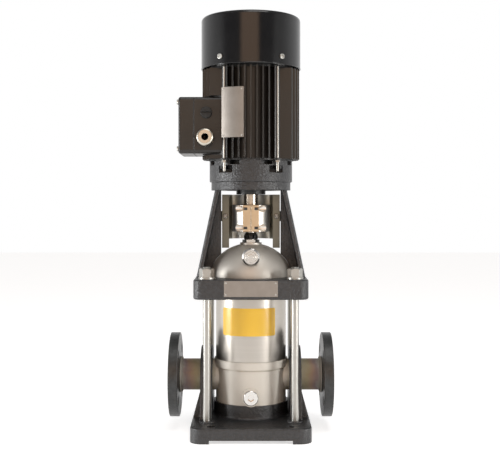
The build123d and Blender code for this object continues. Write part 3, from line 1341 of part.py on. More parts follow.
def terminal_box():
    """The box's base, saddled on the frame's barrel and open to its lid."""
    depth = BOX_FACE_X - BOX_INNER_X
    shell = extrude(Pos(-BOX_FACE_X, 0, 0) * box_profile(), depth)
    cavity = extrude(Pos(-BOX_FACE_X, 0, 0) * inner_profile(), depth)
    cavity -= disc(box_saddle_r() + BOX_WALL, BOX_BOTTOM, BOX_TOP)
    shell -= cavity
    shell -= disc(box_saddle_r(), BOX_BOTTOM, BOX_TOP)
    for post in corner_posts(-BOX_FACE_X + LID_SCREW_DEPTH + 2, -BOX_FACE_X, LID_SCREW_R + 2.5):
        shell += post
    for hole in corner_posts(-BOX_FACE_X + LID_SCREW_DEPTH, -BOX_FACE_X, LID_SCREW_R):
        shell -= hole
    for y in (-BOARD_Y / 3, BOARD_Y / 3):
        start = (-box_saddle_r() + 2, y, board_middle())
        shell += bar(BOARD_POST_R, start, (-1, 0, 0), board_back() - box_saddle_r() + 2)
    shell -= disc(box_saddle_r(), BOX_BOTTOM, BOX_TOP)
    shell -= bar(GLAND_HOLE_R, (-GLAND_X, 0, GLAND_Z), (0, -1, 0), BOX_Y + 1)
    return shell - bar(PLUG_R - 2, (-PLUG_X, 0, PLUG_Z), (0, -1, 0), BOX_Y + 1)


def corner_posts(start_x, end_x, radius):
    """Round posts or holes at the lid's four screw places, between two X positions."""
    inset = LID_SCREW_INSET
    middle = (BOX_BOTTOM + BOX_TOP) / 2
    rise = (BOX_TOP - BOX_BOTTOM) / 2 - inset
    posts = []
    for y in (-BOX_Y + inset, BOX_Y - inset):
        for z in (middle - rise, middle + rise):
            low = min(start_x, end_x)
            posts.append(bar(radius, (low, y, z), (1, 0, 0), abs(end_x - start_x)))
    return posts


def board_back():
    """How far the terminal board's back stands from the axis."""
    return box_saddle_r() + BOX_WALL + BOARD_GAP


def board_middle():
    return (BOX_BOTTOM + BOX_TOP) / 2


def terminal_board():
    """The insulated board with its six studs."""
    back = board_back()
    z = board_middle()
    board = block((-back - BOARD_X, -BOARD_Y / 2, z - BOARD_Z / 2), (-back, BOARD_Y / 2, z + BOARD_Z / 2))
    for y in (-BOARD_Y / 3, 0, BOARD_Y / 3):
        for rise in (-BOARD_Z / 4, BOARD_Z / 4):
            board += bar(BOARD_STUD_R, (-back - BOARD_X, y, z + rise), (-1, 0, 0), BOARD_STUD)
    return board


def terminal_gasket():
    face = BOX_FACE_X + BOX_GASKET
    ring = extrude(Pos(-face, 0, 0) * (box_profile() - inner_profile()), BOX_GASKET)
    for post in corner_posts(-BOX_FACE_X, -face, LID_SCREW_R + 1):
        ring -= post
    return ring


def terminal_lid():
    face = BOX_FACE_X + BOX_GASKET
    depth = BOX_LID_X - face
    lid = extrude(Pos(-BOX_LID_X, 0, 0) * box_profile(), depth)
    lid = fillet(lid.edges().group_by(Axis.X)[0], BOX_CORNER_R / 2)
    lid -= extrude(Pos(-BOX_LID_X + BOX_WALL, 0, 0) * inner_profile(), depth - BOX_WALL)
    for post in corner_posts(-BOX_LID_X + BOX_WALL / 2, -face, LID_SCREW_R + 2.5):
        lid += post
    for hole in corner_posts(-BOX_LID_X, -face, LID_SCREW_R + SEAT_GAP):
        lid -= hole
    return lid


def terminal_lid_screws():
    screws = []
    shanks = corner_posts(-BOX_LID_X, -BOX_FACE_X + LID_SCREW_DEPTH, LID_SCREW_R - SEAT_GAP)
    heads = corner_posts(-BOX_LID_X - LID_SCREW_HEAD, -BOX_LID_X, LID_SCREW_HEAD_R)
    for shank, head in zip(shanks, heads):
        head = fillet(head.edges().group_by(Axis.X)[0], LID_SCREW_HEAD * 0.4)
        screws.append(shank + head)
    return screws


def cable_gland():
    """The gland's body: a hexagon outside the wall and a hollow tail through it."""
    start = (-GLAND_X, -BOX_Y, GLAND_Z)
    body = hexagon(GLAND_BODY_FLATS, start, (0, -1, 0), GLAND_BODY)
    body += bar(GLAND_HOLE_R - SEAT_GAP, start, (0, 1, 0), GLAND_TAIL)
    back = (-GLAND_X, -BOX_Y + GLAND_TAIL, GLAND_Z)
    return body - bar(CABLE_R, back, (0, -1, 0), GLAND_TAIL + GLAND_BODY)


def cable_gland_nut():
    """The gland's domed clamping nut, with the cable's bore."""
    start = (-GLAND_X, -BOX_Y - GLAND_BODY, GLAND_Z)
    nut = bar(GLAND_NUT_R, start, (0, -1, 0), GLAND_NUT)
    nut = fillet(nut.edges().group_by(Axis.Y)[0], GLAND_NUT_EDGE_R)
    return nut - bar(CABLE_R, start, (0, -1, 0), GLAND_NUT)


def blanking_plug():
    start = (-PLUG_X, -BOX_Y, PLUG_Z)
    plug = bar(PLUG_R, start, (0, -1, 0), PLUG_HEAD)
    plug = fillet(plug.edges().group_by(Axis.Y)[0], 1.5)
    plug += bar(PLUG_R - 2 - SEAT_GAP, start, (0, 1, 0), GLAND_TAIL)
    slot_low = (-PLUG_X - PLUG_R, -BOX_Y - PLUG_HEAD, PLUG_Z - PLUG_SLOT / 2)
    slot_high = (-PLUG_X + PLUG_R, -BOX_Y - PLUG_HEAD / 2, PLUG_Z + PLUG_SLOT / 2)
    return plug - block(slot_low, slot_high)


# Plates


def head_nameplate():
    face = RING_SIDE / 2
    low = (-HEAD_PLATE_X / 2, -face - PLATE, HEAD_PLATE_LOW)
    return block(low, (HEAD_PLATE_X / 2, -face, HEAD_PLATE_HIGH))


def motor_nameplate():
    """A thin plate bent to the fins' tips, left of the motor's front."""
    outer = FIN_TIP_R + PLATE
    span = (MOTOR_PLATE_LOW, MOTOR_PLATE_HIGH)
    wedge = sector(outer + 1, -MOTOR_PLATE_TO, -MOTOR_PLATE_FROM, *span)
    return tube(outer, FIN_TIP_R, *span) & wedge


NODES = {
    "base_plate": base_plate,
    "inlet_outlet_chamber": inlet_outlet_chamber,
    "discharge_flange": port_flange,
    "suction_flange": lambda: mirror(port_flange(), Plane.YZ),
    "drain_plug": drain_plug,
    "outer_sleeve": outer_sleeve,
    "sleeve_gaskets": sleeve_gaskets,
    "sleeve_label": sleeve_label,
    "staybolts": staybolts,
    "staybolt_washers": staybolt_washers,
    "staybolt_nuts": staybolt_nuts,
    "motor_stool": motor_stool,
    "head_nameplate": head_nameplate,
    "pump_head": pump_head,
    "vent_plug": vent_plug,
    "vent_screw": vent_screw,
    "seal_gland": seal_gland,
    "seal_seat": seal_seat,
    "seal_rotating_ring": seal_rotating_ring,
    "seal_spring": seal_spring,
    "seal_driver": seal_driver,
    "stage_chambers": stage_chambers,
    "neck_rings": neck_rings,
    "impellers": impellers,
    "stack_spacer": stack_spacer,
    "shaft_bush": shaft_bush,
    "pump_shaft": pump_shaft,
    "shaft_nut": shaft_nut,
    "shaft_washer": shaft_washer,
    "coupling_halves": coupling_halves,
    "coupling_screws": coupling_screws,
    "coupling_nuts": coupling_nuts,
    "coupling_pin": coupling_pin,
    "coupling_guard": coupling_guard,
    "guard_screws": guard_screws,
    "motor_shaft": motor_shaft,
    "bearing_inner_rings": bearing_inner_rings,
    "bearing_outer_rings": bearing_outer_rings,
    "bearing_balls": bearing_balls,
    "lower_end_shield": lower_end_shield,
    "motor_frame": motor_frame,
    "stator_core": stator_core,
    "stator_windings": stator_windings,
    "rotor_core": rotor_core,
    "upper_end_shield": upper_end_shield,
    "tie_rods": tie_rods,
    "motor_bolts": motor_bolts,
    "motor_nameplate": motor_nameplate,
    "cooling_fan": cooling_fan,
    "fan_cover": fan_cover,
    "fan_cover_screws": fan_cover_screws,
    "terminal_box": terminal_box,
    "terminal_board": terminal_board,
    "terminal_gasket": terminal_gasket,
    "terminal_lid": terminal_lid,
    "terminal_lid_screws": terminal_lid_screws,
    "cable_gland": cable_gland,
    "cable_gland_nut": cable_gland_nut,
    "blanking_plug": blanking_plug,
}

for name, make in NODES.items():
    made = make()
    if isinstance(made, list):
        made = Compound(children=[solid for piece in made for solid in piece.solids()])
    export_step(made, f"parts/{name}.step")
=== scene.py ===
import json
from math import cos, pi, radians, sin, sqrt

import bpy
from mathutils import Matrix, Vector


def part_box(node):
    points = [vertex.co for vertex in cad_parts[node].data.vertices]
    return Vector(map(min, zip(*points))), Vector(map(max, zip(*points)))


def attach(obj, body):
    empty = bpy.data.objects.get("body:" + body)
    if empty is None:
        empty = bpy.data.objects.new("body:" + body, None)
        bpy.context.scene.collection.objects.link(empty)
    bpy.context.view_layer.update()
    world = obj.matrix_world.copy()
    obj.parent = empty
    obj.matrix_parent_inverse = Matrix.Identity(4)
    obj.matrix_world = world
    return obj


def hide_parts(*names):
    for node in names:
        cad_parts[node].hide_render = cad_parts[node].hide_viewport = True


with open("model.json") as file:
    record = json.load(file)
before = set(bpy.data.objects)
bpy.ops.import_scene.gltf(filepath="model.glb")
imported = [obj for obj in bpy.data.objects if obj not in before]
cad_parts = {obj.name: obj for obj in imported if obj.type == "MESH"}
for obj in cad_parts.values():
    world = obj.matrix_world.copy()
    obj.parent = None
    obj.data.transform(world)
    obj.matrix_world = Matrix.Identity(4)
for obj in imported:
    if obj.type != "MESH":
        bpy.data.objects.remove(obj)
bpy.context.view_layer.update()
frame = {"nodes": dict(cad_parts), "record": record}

MM = 0.001

# Places and sizes, taken from the frame

mounts = {mount["name"]: mount for mount in frame["record"]["mounts"]}
PORT_Z = mounts["suction_port"]["pos_m"][2]
GLAND_X, _, GLAND_Z = mounts["cable_entry"]["pos_m"]
BARE_FACE_X = mounts["discharge_bolts"]["pos_m"][0] + 0.1 * MM
vent_low, vent_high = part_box("vent_plug")
VENT_Z = (vent_low.z + vent_high.z) / 2

# Node building


def linked(tree, socket, value):
    """Joins a socket to another one, or gives it a plain value."""
    if isinstance(value, bpy.types.NodeSocket):
        tree.links.new(value, socket)
    else:
        socket.default_value = value


def node(tree, kind, values=(), **settings):
    """A node of a tree with its settings, and its inputs by name or number."""
    made = tree.nodes.new(kind)
    for key, value in settings.items():
        setattr(made, key, value)
    for key, value in dict(values).items():
        linked(tree, made.inputs[key], value)
    return made


def sums(tree, operation, *values, clamp=False):
    """One step of arithmetic."""
    step = node(tree, "ShaderNodeMath", enumerate(values), operation=operation, use_clamp=clamp)
    return step.outputs[0]


def vector_sums(tree, operation, *values, out=0):
    """One step of vector arithmetic; output 1 is the plain number, where there is one."""
    step = node(tree, "ShaderNodeVectorMath", enumerate(values), operation=operation)
    return step.outputs[out]


def span(tree, value, low, high):
    """A smooth rise from 0 to 1 as a value goes from one limit to the other."""
    values = {"Value": value, "From Min": low, "From Max": high}
    step = node(tree, "ShaderNodeMapRange", values, interpolation_type="SMOOTHSTEP")
    return step.outputs["Result"]


def blended(tree, factor, first, second, how="MIX"):
    """Two colours mixed by a factor."""
    mix = node(tree, "ShaderNodeMix", data_type="RGBA", blend_type=how)
    linked(tree, mix.inputs["Factor"], factor)
    linked(tree, mix.inputs["A"], first if not isinstance(first, tuple) else (*first, 1))
    linked(tree, mix.inputs["B"], second if not isinstance(second, tuple) else (*second, 1))
    return mix.outputs["Result"]


def noise(tree, where, scale, detail=3.0, roughness=0.55):
    """Soft cloudy noise from 0 to 1."""
    values = {"Vector": where, "Scale": scale, "Detail": detail, "Roughness": roughness}
    return node(tree, "ShaderNodeTexNoise", values).outputs["Fac"]


def place(tree):
    """Where on the object a point lies, in metres."""
    return node(tree, "ShaderNodeTexCoord").outputs["Object"]


def effect(name, inputs, outputs):
    """An empty shader group with named inputs and outputs."""
    tree = bpy.data.node_groups.new(name, "ShaderNodeTree")
    kinds = {float: "NodeSocketFloat", tuple: "NodeSocketVector"}
    for label, default in inputs:
        socket = tree.interface.new_socket(label, in_out="INPUT", socket_type=kinds[type(default)])
        socket.default_value = default
    for label, kind in outputs:
        tree.interface.new_socket(label, in_out="OUTPUT", socket_type="NodeSocket" + kind)
    return tree, tree.nodes.new("NodeGroupInput").outputs, tree.nodes.new("NodeGroupOutput").inputs


def use(tree, group, **values):
    """Places an effect in a material; inputs are given with _ for a space."""
    made = node(tree, "ShaderNodeGroup", node_tree=group)
    for key, value in values.items():
        linked(tree, made.inputs[key.replace("_", " ")], value)
    return made.outputs


# Effects that several finishes share


def edge_effect():
    """Rounded-looking edges, and a broken mask of where they have been rubbed."""
    tree, given, out = effect(
        "worn edges",
        [("Radius", 0.0006), ("Amount", 0.5), ("Patch", 0.006)],
        [("Normal", "Vector"), ("Wear", "Float")],
    )
    rounded = node(tree, "ShaderNodeBevel", {"Radius": given["Radius"]}, samples=6).outputs[0]
    flat = node(tree, "ShaderNodeNewGeometry").outputs["Normal"]
    turn = vector_sums(tree, "DOT_PRODUCT", rounded, flat, out=1)
    edge = sums(tree, "MULTIPLY", sums(tree, "SUBTRACT", 1.0, turn), 9.0, clamp=True)
    patches = noise(tree, place(tree), sums(tree, "DIVIDE", 1.0, given["Patch"]), 4.0, 0.7)
    rubbed = span(tree, patches, 0.42, 0.62)
    linked(tree, out["Normal"], rounded)
    linked(tree, out["Wear"], sums(tree, "MULTIPLY", sums(tree, "MULTIPLY", edge, rubbed), given["Amount"]))
    return tree


def cast_effect():
    """Sand-cast skin: fine grain over soft lumps."""
    tree, given, out = effect(
        "cast skin",
        [("Grain", 0.0012), ("Lump", 0.007), ("Lumpiness", 0.5)],
        [("Height", "Float"), ("Tone", "Float")],
    )
    where = place(tree)
    grain = noise(tree, where, sums(tree, "DIVIDE", 1.0, given["Grain"]), 2.0)
    lump = noise(tree, where, sums(tree, "DIVIDE", 1.0, given["Lump"]), 3.0, 0.6)
    pits = node(tree, "ShaderNodeTexVoronoi", {"Vector": where})
    linked(tree, pits.inputs["Scale"], sums(tree, "DIVIDE", 0.45, given["Grain"]))
    height = sums(tree, "ADD", grain, sums(tree, "MULTIPLY", lump, given["Lumpiness"]))
    height = sums(tree, "ADD", height, sums(tree, "MULTIPLY", pits.outputs["Distance"], 0.5))
    linked(tree, out["Height"], height)
    linked(tree, out["Tone"], span(tree, lump, 0.3, 0.7))
    return tree


def turned_effect():
    """The fine rings that a lathe leaves about an axis."""
    tree, given, out = effect(
        "turned lines",
        [("Centre", (0.0, 0.0, 0.0)), ("Axis", (0.0, 0.0, 1.0)), ("Pitch", 0.0006)],
        [("Height", "Float"), ("Streak", "Float")],
    )
    offset = vector_sums(tree, "SUBTRACT", place(tree), given["Centre"])
    along = vector_sums(tree, "DOT_PRODUCT", offset, given["Axis"], out=1)
    across = vector_sums(tree, "CROSS_PRODUCT", offset, given["Axis"])
    radius = vector_sums(tree, "LENGTH", across, out=1)
    per_metre = sums(tree, "DIVIDE", 1.0, given["Pitch"])
    lines = node(tree, "ShaderNodeCombineXYZ", {"X": radius, "Y": along})
    linked(tree, out["Height"], noise(tree, lines.outputs[0], per_metre, 2.0, 0.6))
    coarse = noise(tree, lines.outputs[0], sums(tree, "MULTIPLY", per_metre, 0.12), 2.0)
    linked(tree, out["Streak"], coarse)
    return tree


def smudge_effect():
    """Soft patches of handling and cleaning, for roughness and tone."""
    tree, given, out = effect(
        "smudges", [("Size", 0.03), ("Contrast", 1.0)], [("Factor", "Float")]
    )
    patch = noise(tree, place(tree), sums(tree, "DIVIDE", 1.0, given["Size"]), 4.0, 0.6)
    centred = sums(tree, "SUBTRACT", patch, 0.5)
    spread = sums(tree, "MULTIPLY", centred, given["Contrast"])
    linked(tree, out["Factor"], sums(tree, "ADD", spread, 0.5, clamp=True))
    return tree


EDGES = edge_effect()
CAST = cast_effect()
TURNED = turned_effect()
SMUDGES = smudge_effect()

# Finishes

CAST_GRAIN = 1.6 * MM
STUB_START = 62 * MM
STUB_END = 122 * MM
TINT_WANDER = 22 * MM


def finish(name, metallic, sockets=()):
    """A material with its Principled shader; returns the material, its tree and the shader."""
    material = bpy.data.materials.new(name)
    material.use_nodes = True
    tree = material.node_tree
    shader = tree.nodes["Principled BSDF"]
    shader.inputs["Metallic"].default_value = metallic
    for key, value in dict(sockets).items():
        shader.inputs[key].default_value = value
    return material, tree, shader


def bumped(tree, shader, height, distance, normal=None):
    """Gives a shader a fine relief, as deep as the distance."""
    bump = node(tree, "ShaderNodeBump", {"Height": height, "Distance": distance, "Strength": 1.0})
    if normal is not None:
        linked(tree, bump.inputs["Normal"], normal)
    linked(tree, shader.inputs["Normal"], bump.outputs[0])


def between(tree, factor, low, high):
    """A plain number between two, by a factor."""
    return sums(tree, "ADD", sums(tree, "MULTIPLY", factor, high - low), low)


def cast_paint(name, colour, bare, depth=0.0006, wear=0.5, gloss=0.75):
    """Gloss paint over a rough sand casting, rubbed through along its edges."""
    material, tree, shader = finish(name, 0.0, {"Specular IOR Level": gloss})
    skin = use(tree, CAST, Grain=CAST_GRAIN, Lump=CAST_GRAIN * 2.8, Lumpiness=1.5)
    edge = use(tree, EDGES, Radius=0.0016, Amount=wear, Patch=0.005)
    smudge = use(tree, SMUDGES, Size=0.03, Contrast=1.8)
    light = tuple(c * 2.6 for c in colour)
    painted = blended(tree, skin["Tone"], colour, light)
    linked(tree, shader.inputs["Base Color"], blended(tree, edge["Wear"], painted, bare))
    linked(tree, shader.inputs["Roughness"], between(tree, smudge["Factor"], 0.3, 0.46))
    bumped(tree, shader, skin["Height"], depth, edge["Normal"])
    return material


def sprayed_paint(name, colour, bare, rough=(0.25, 0.4)):
    """Sprayed paint on a smooth surface, with a trace of orange peel."""
    material, tree, shader = finish(name, 0.0)
    edge = use(tree, EDGES, Radius=0.0007, Amount=0.35, Patch=0.004)
    smudge = use(tree, SMUDGES, Size=0.035, Contrast=1.5)
    skin = use(tree, CAST, Grain=0.0022, Lump=0.012, Lumpiness=0.8)
    light = tuple(c * 1.4 for c in colour)
    painted = blended(tree, smudge["Factor"], colour, light)
    linked(tree, shader.inputs["Base Color"], blended(tree, edge["Wear"], painted, bare))
    linked(tree, shader.inputs["Roughness"], between(tree, smudge["Factor"], *rough))
    bumped(tree, shader, skin["Height"], 0.00006, edge["Normal"])
    return material


def turned_steel(name, colour, rough, centre, axis, depth=0.00002, brushed=0.0):
    """Bare metal with fine turned rings, slightly smudged; it may be brushed round the shaft."""
    material, tree, shader = finish(name, 1.0, {"Anisotropic": brushed})
    if brushed:
        tangent = node(tree, "ShaderNodeTangent", direction_type="RADIAL", axis="Z")
        linked(tree, shader.inputs["Tangent"], tangent.outputs[0])
    lines = use(tree, TURNED, Centre=centre, Axis=axis, Pitch=0.0006)
    edge = use(tree, EDGES, Radius=0.0004, Amount=0.5, Patch=0.004)
    smudge = use(tree, SMUDGES, Size=0.03, Contrast=1.3)
    dull = tuple(c * 0.88 for c in colour)
    metal = blended(tree, lines["Streak"], dull, colour)
    bright = tuple(min(c * 1.15, 0.95) for c in colour)
    linked(tree, shader.inputs["Base Color"], blended(tree, edge["Wear"], metal, bright))
    linked(tree, shader.inputs["Roughness"], between(tree, smudge["Factor"], *rough))
    bumped(tree, shader, lines["Height"], depth, edge["Normal"])
    return material


def blasted_steel(name, colour, rough):
    """Stainless casting, bead-blasted to an even satin with fine grain."""
    material, tree, shader = finish(name, 0.75)
    skin = use(tree, CAST, Grain=0.0007, Lump=0.012, Lumpiness=0.6)
    edge = use(tree, EDGES, Radius=0.0008, Amount=0.5, Patch=0.004)
    smudge = use(tree, SMUDGES, Size=0.035, Contrast=1.4)
    dull = tuple(c * 0.9 for c in colour)
    body = blended(tree, smudge["Factor"], dull, colour)
    bright = tuple(min(c * 1.2, 0.95) for c in colour)
    linked(tree, shader.inputs["Base Color"], blended(tree, edge["Wear"], body, bright))
    linked(tree, shader.inputs["Roughness"], between(tree, smudge["Factor"], *rough))
    bumped(tree, shader, skin["Height"], 0.00007, edge["Normal"])
    return material


def painted_reflection_steel(name, inner, outer, border, rough):
    """Steel with painted reflection: one colour up to a distance left and right of the shaft, and another
    beyond.
    """
    material, tree, shader = finish(name, 1.0)
    where = node(tree, "ShaderNodeSeparateXYZ", {"Vector": place(tree)}).outputs
    reach = sums(tree, "ABSOLUTE", where["X"])
    lines = use(tree, TURNED, Centre=(0, 0, 0), Axis=(0, 0, 1), Pitch=0.0009)
    edge = use(tree, EDGES, Radius=0.0006, Amount=0.4, Patch=0.004)
    smudge = use(tree, SMUDGES, Size=0.02, Contrast=1.4)
    # The colour changes with distance from the shaft; both colours are painted reflection and painted
    # highlight.
    metal = blended(tree, span(tree, reach, border - 1 * MM, border + 1 * MM), inner, outer)
    marked = blended(tree, smudge["Factor"], metal, (0.8, 0.8, 0.8), "MULTIPLY")
    linked(tree, shader.inputs["Base Color"], blended(tree, edge["Wear"], marked, (0.9, 0.88, 0.84)))
    linked(tree, shader.inputs["Roughness"], between(tree, smudge["Factor"], *rough))
    bumped(tree, shader, lines["Height"], 0.00001, edge["Normal"])
    return material


def moulded(name, colour, rough=(0.45, 0.6), specular=0.4):
    """Plain moulded plastic or rubber."""
    material, tree, shader = finish(name, 0.0, {"Specular IOR Level": specular})
    skin = use(tree, CAST, Grain=0.0006, Lump=0.006, Lumpiness=0.5)
    edge = use(tree, EDGES, Radius=0.0005, Amount=0.3, Patch=0.003)
    smudge = use(tree, SMUDGES, Size=0.02, Contrast=1.2)
    light = tuple(c * 1.35 + 0.004 for c in colour)
    body = blended(tree, skin["Tone"], colour, light)
    scuffed = tuple(c * 1.8 + 0.02 for c in colour)
    linked(tree, shader.inputs["Base Color"], blended(tree, edge["Wear"], body, scuffed))
    linked(tree, shader.inputs["Roughness"], between(tree, smudge["Factor"], *rough))
    bumped(tree, shader, skin["Height"], 0.00004, edge["Normal"])
    return material


def chamber_steel(name):
    """Stainless chamber: satin body, and pipe stubs tinted by the heat of their welds."""
    material, tree, shader = finish(name, 0.35)
    lines = use(tree, TURNED, Centre=(0, 0, 0), Axis=(0, 0, 1), Pitch=0.0009)
    edge = use(tree, EDGES, Radius=0.0008, Amount=0.4, Patch=0.004)
    smudge = use(tree, SMUDGES, Size=0.03, Contrast=1.5)
    where = node(tree, "ShaderNodeSeparateXYZ", {"Vector": place(tree)}).outputs
    reach = sums(tree, "ABSOLUTE", where["X"])
    wander = sums(tree, "SUBTRACT", noise(tree, place(tree), 45.0), 0.5)
    reach = sums(tree, "ADD", reach, sums(tree, "MULTIPLY", wander, TINT_WANDER))
    body = blended(tree, smudge["Factor"], (0.66, 0.63, 0.57), (0.72, 0.69, 0.63))
    ramp = node(tree, "ShaderNodeValToRGB", {"Fac": span(tree, reach, STUB_START, STUB_END)})
    stops = [
        (0.0, (0.52, 0.49, 0.41)),
        (0.35, (0.40, 0.37, 0.27)),
        (0.6, (0.35, 0.30, 0.19)),
        (0.8, (0.34, 0.24, 0.18)),
        (0.93, (0.26, 0.20, 0.20)),
        (1.0, (0.38, 0.36, 0.32)),
    ]
    band = ramp.color_ramp
    while len(band.elements) < len(stops):
        band.elements.new(0.5)
    for element, (at, colour) in zip(band.elements, stops):
        element.position = at
        element.color = (*colour, 1)
    on_stub = span(tree, reach, STUB_START - 2 * MM, STUB_START + 4 * MM)
    metal = blended(tree, on_stub, body, ramp.outputs["Color"])
    linked(tree, shader.inputs["Base Color"], blended(tree, edge["Wear"], metal, (0.8, 0.78, 0.75)))
    linked(tree, shader.inputs["Roughness"], between(tree, smudge["Factor"], 0.54, 0.64))
    bumped(tree, shader, lines["Height"], 0.00003, edge["Normal"])
    return material


def flange_paint(name):
    """Black flanges whose sealing faces are bare and finely grooved."""
    material, tree, shader = finish(name, 0.0, {"Specular IOR Level": 0.6})
    skin = use(tree, CAST, Grain=0.0013, Lump=0.008, Lumpiness=0.7)
    edge = use(tree, EDGES, Radius=0.0012, Amount=0.7, Patch=0.005)
    rings = use(tree, TURNED, Centre=(0, 0, PORT_Z), Axis=(1, 0, 0), Pitch=0.0008)
    smudge = use(tree, SMUDGES, Size=0.03, Contrast=1.4)
    where = node(tree, "ShaderNodeSeparateXYZ", {"Vector": place(tree)}).outputs
    reach = sums(tree, "ABSOLUTE", where["X"])
    face = sums(tree, "GREATER_THAN", reach, BARE_FACE_X)
    painted = blended(tree, skin["Tone"], (0.010, 0.011, 0.011), (0.026, 0.028, 0.028))
    painted = blended(tree, edge["Wear"], painted, (0.12, 0.12, 0.12))
    linked(tree, shader.inputs["Base Color"], blended(tree, face, painted, (0.5, 0.49, 0.47)))
    linked(tree, shader.inputs["Metallic"], face)
    linked(tree, shader.inputs["Roughness"], between(tree, smudge["Factor"], 0.28, 0.42))
    cast_part = sums(tree, "MULTIPLY", skin["Height"], sums(tree, "SUBTRACT", 1.0, face))
    height = sums(tree, "ADD", cast_part, sums(tree, "MULTIPLY", rings["Height"], face))
    bumped(tree, shader, height, 0.0003, edge["Normal"])
    return material


def label_film(name):
    """Glossy yellow film, blank."""
    material, tree, shader = finish(name, 0.0, {"Coat Weight": 0.5, "Coat Roughness": 0.15})
    smudge = use(tree, SMUDGES, Size=0.02, Contrast=0.8)
    skin = use(tree, CAST, Grain=0.004, Lump=0.02, Lumpiness=0.8)
    colour = blended(tree, smudge["Factor"], (0.93, 0.55, 0.03), (0.98, 0.62, 0.045))
    linked(tree, shader.inputs["Base Color"], colour)
    linked(tree, shader.inputs["Roughness"], between(tree, smudge["Factor"], 0.3, 0.42))
    bumped(tree, shader, skin["Height"], 0.00008)
    return material


def plate_metal(name):
    """Blank rating plate: satin sheet with a faint grain along it."""
    material, tree, shader = finish(name, 0.75)
    where = node(tree, "ShaderNodeMapping", {"Vector": place(tree), "Scale": (40, 40, 2600)})
    grain = noise(tree, where.outputs[0], 1.0, 3.0)
    smudge = use(tree, SMUDGES, Size=0.018, Contrast=1.3)
    edge = use(tree, EDGES, Radius=0.0003, Amount=0.6, Patch=0.003)
    colour = blended(tree, smudge["Factor"], (0.26, 0.235, 0.21), (0.34, 0.31, 0.28))
    linked(tree, shader.inputs["Base Color"], blended(tree, edge["Wear"], colour, (0.7, 0.68, 0.65)))
    linked(tree, shader.inputs["Roughness"], between(tree, grain, 0.38, 0.5))
    bumped(tree, shader, grain, 0.00002, edge["Normal"])
    return material


def laminations(name):
    """Stacked sheet, seen edge on as fine level lines."""
    material, tree, shader = finish(name, 0.8)
    where = node(tree, "ShaderNodeMapping", {"Vector": place(tree), "Scale": (20, 20, 2000)})
    sheets = noise(tree, where.outputs[0], 1.0, 1.0)
    colour = blended(tree, sheets, (0.20, 0.20, 0.21), (0.38, 0.38, 0.39))
    linked(tree, shader.inputs["Base Color"], colour)
    linked(tree, shader.inputs["Roughness"], between(tree, sheets, 0.35, 0.55))
    bumped(tree, shader, sheets, 0.0001)
    return material


PUMP_AXIS = {"centre": (0.0, 0.0, 0.0), "axis": (0.0, 0.0, 1.0)}
FRONT_AXIS = {"centre": (0.0, 0.0, VENT_Z), "axis": (0.0, 1.0, 0.0)}
GLAND_AXIS = {"centre": (GLAND_X, 0.0, GLAND_Z), "axis": (0.0, 1.0, 0.0)}
FINISHES = {
    "cast_black": cast_paint("cast_black", (0.008, 0.008, 0.0088), (0.15, 0.15, 0.15)),
    "motor_casting": cast_paint(
        "motor_casting", (0.008, 0.008, 0.008), (0.30, 0.30, 0.30), depth=0.0003, wear=0.6, gloss=0.5
    ),
    "flange_black": flange_paint("flange_black"),
    "motor_black": sprayed_paint("motor_black", (0.014, 0.012, 0.010), (0.09, 0.085, 0.08)),
    "cover_black": sprayed_paint(
        "cover_black", (0.006, 0.006, 0.0065), (0.06, 0.06, 0.06), rough=(0.12, 0.18)
    ),
    "stainless_cast": chamber_steel("stainless_cast"),
    "stainless_blasted": blasted_steel("stainless_blasted", (0.60, 0.57, 0.52), (0.46, 0.54)),
    "stainless_satin": turned_steel(
        "stainless_satin", (0.50, 0.465, 0.42), (0.26, 0.32), **PUMP_AXIS, depth=0.000006, brushed=0.5
    ),
    "stainless_bright": turned_steel(
        "stainless_bright", (0.72, 0.70, 0.67), (0.16, 0.26), **FRONT_AXIS, depth=0.00001
    ),
    "zinc_steel": turned_steel(
        "zinc_steel", (0.46, 0.45, 0.42), (0.32, 0.42), **PUMP_AXIS, depth=0.000004
    ),
    "shaft_steel": turned_steel("shaft_steel", (0.62, 0.54, 0.45), (0.24, 0.34), **PUMP_AXIS),
    # Coupling: tan within 14 mm of the shaft, a painted reflection of the warm light in front, and pale
    # cream beyond, a painted highlight.
    "coupling_steel": painted_reflection_steel(
        "coupling_steel", (0.64, 0.50, 0.34), (0.92, 0.89, 0.83), 14 * MM, (0.34, 0.42)
    ),
    # Guard: pale cream within 33 mm of the shaft, a painted reflection, and dark olive grey beyond.
    "guard_polished": painted_reflection_steel(
        "guard_polished", (0.90, 0.88, 0.82), (0.19, 0.185, 0.155), 33 * MM, (0.25, 0.35)
    ),
    "bearing_steel": turned_steel("bearing_steel", (0.60, 0.60, 0.60), (0.15, 0.22), **PUMP_AXIS),
    "nickel_brass": turned_steel("nickel_brass", (0.62, 0.58, 0.50), (0.24, 0.36), **GLAND_AXIS),
    "plate_silver": plate_metal("plate_silver"),
    "label_yellow": label_film("label_yellow"),
    "seal_rubber": moulded("seal_rubber", (0.012, 0.012, 0.012), rough=(0.55, 0.7)),
    "seal_carbide": moulded("seal_carbide", (0.05, 0.05, 0.055), rough=(0.25, 0.35)),
    "seal_black": moulded("seal_black", (0.012, 0.012, 0.012), rough=(0.3, 0.4)),
    "seal_polymer": moulded("seal_polymer", (0.6, 0.57, 0.5)),
    "screw_black": moulded("screw_black", (0.015, 0.015, 0.015), rough=(0.3, 0.42), specular=0.6),
    "lamination": laminations("lamination"),
    "winding_copper": turned_steel("winding_copper", (0.55, 0.25, 0.12), (0.3, 0.4), **PUMP_AXIS),
    "fan_plastic": moulded("fan_plastic", (0.03, 0.03, 0.03)),
    "board_plastic": moulded("board_plastic", (0.12, 0.04, 0.025)),
    "plug_plastic": moulded("plug_plastic", (0.012, 0.012, 0.012)),
}
for part in frame["record"]["subparts"]:
    for held in frame["nodes"][part["node"]].material_slots:
        held.material = FINISHES[part["material_slot"]]

# Mesh building


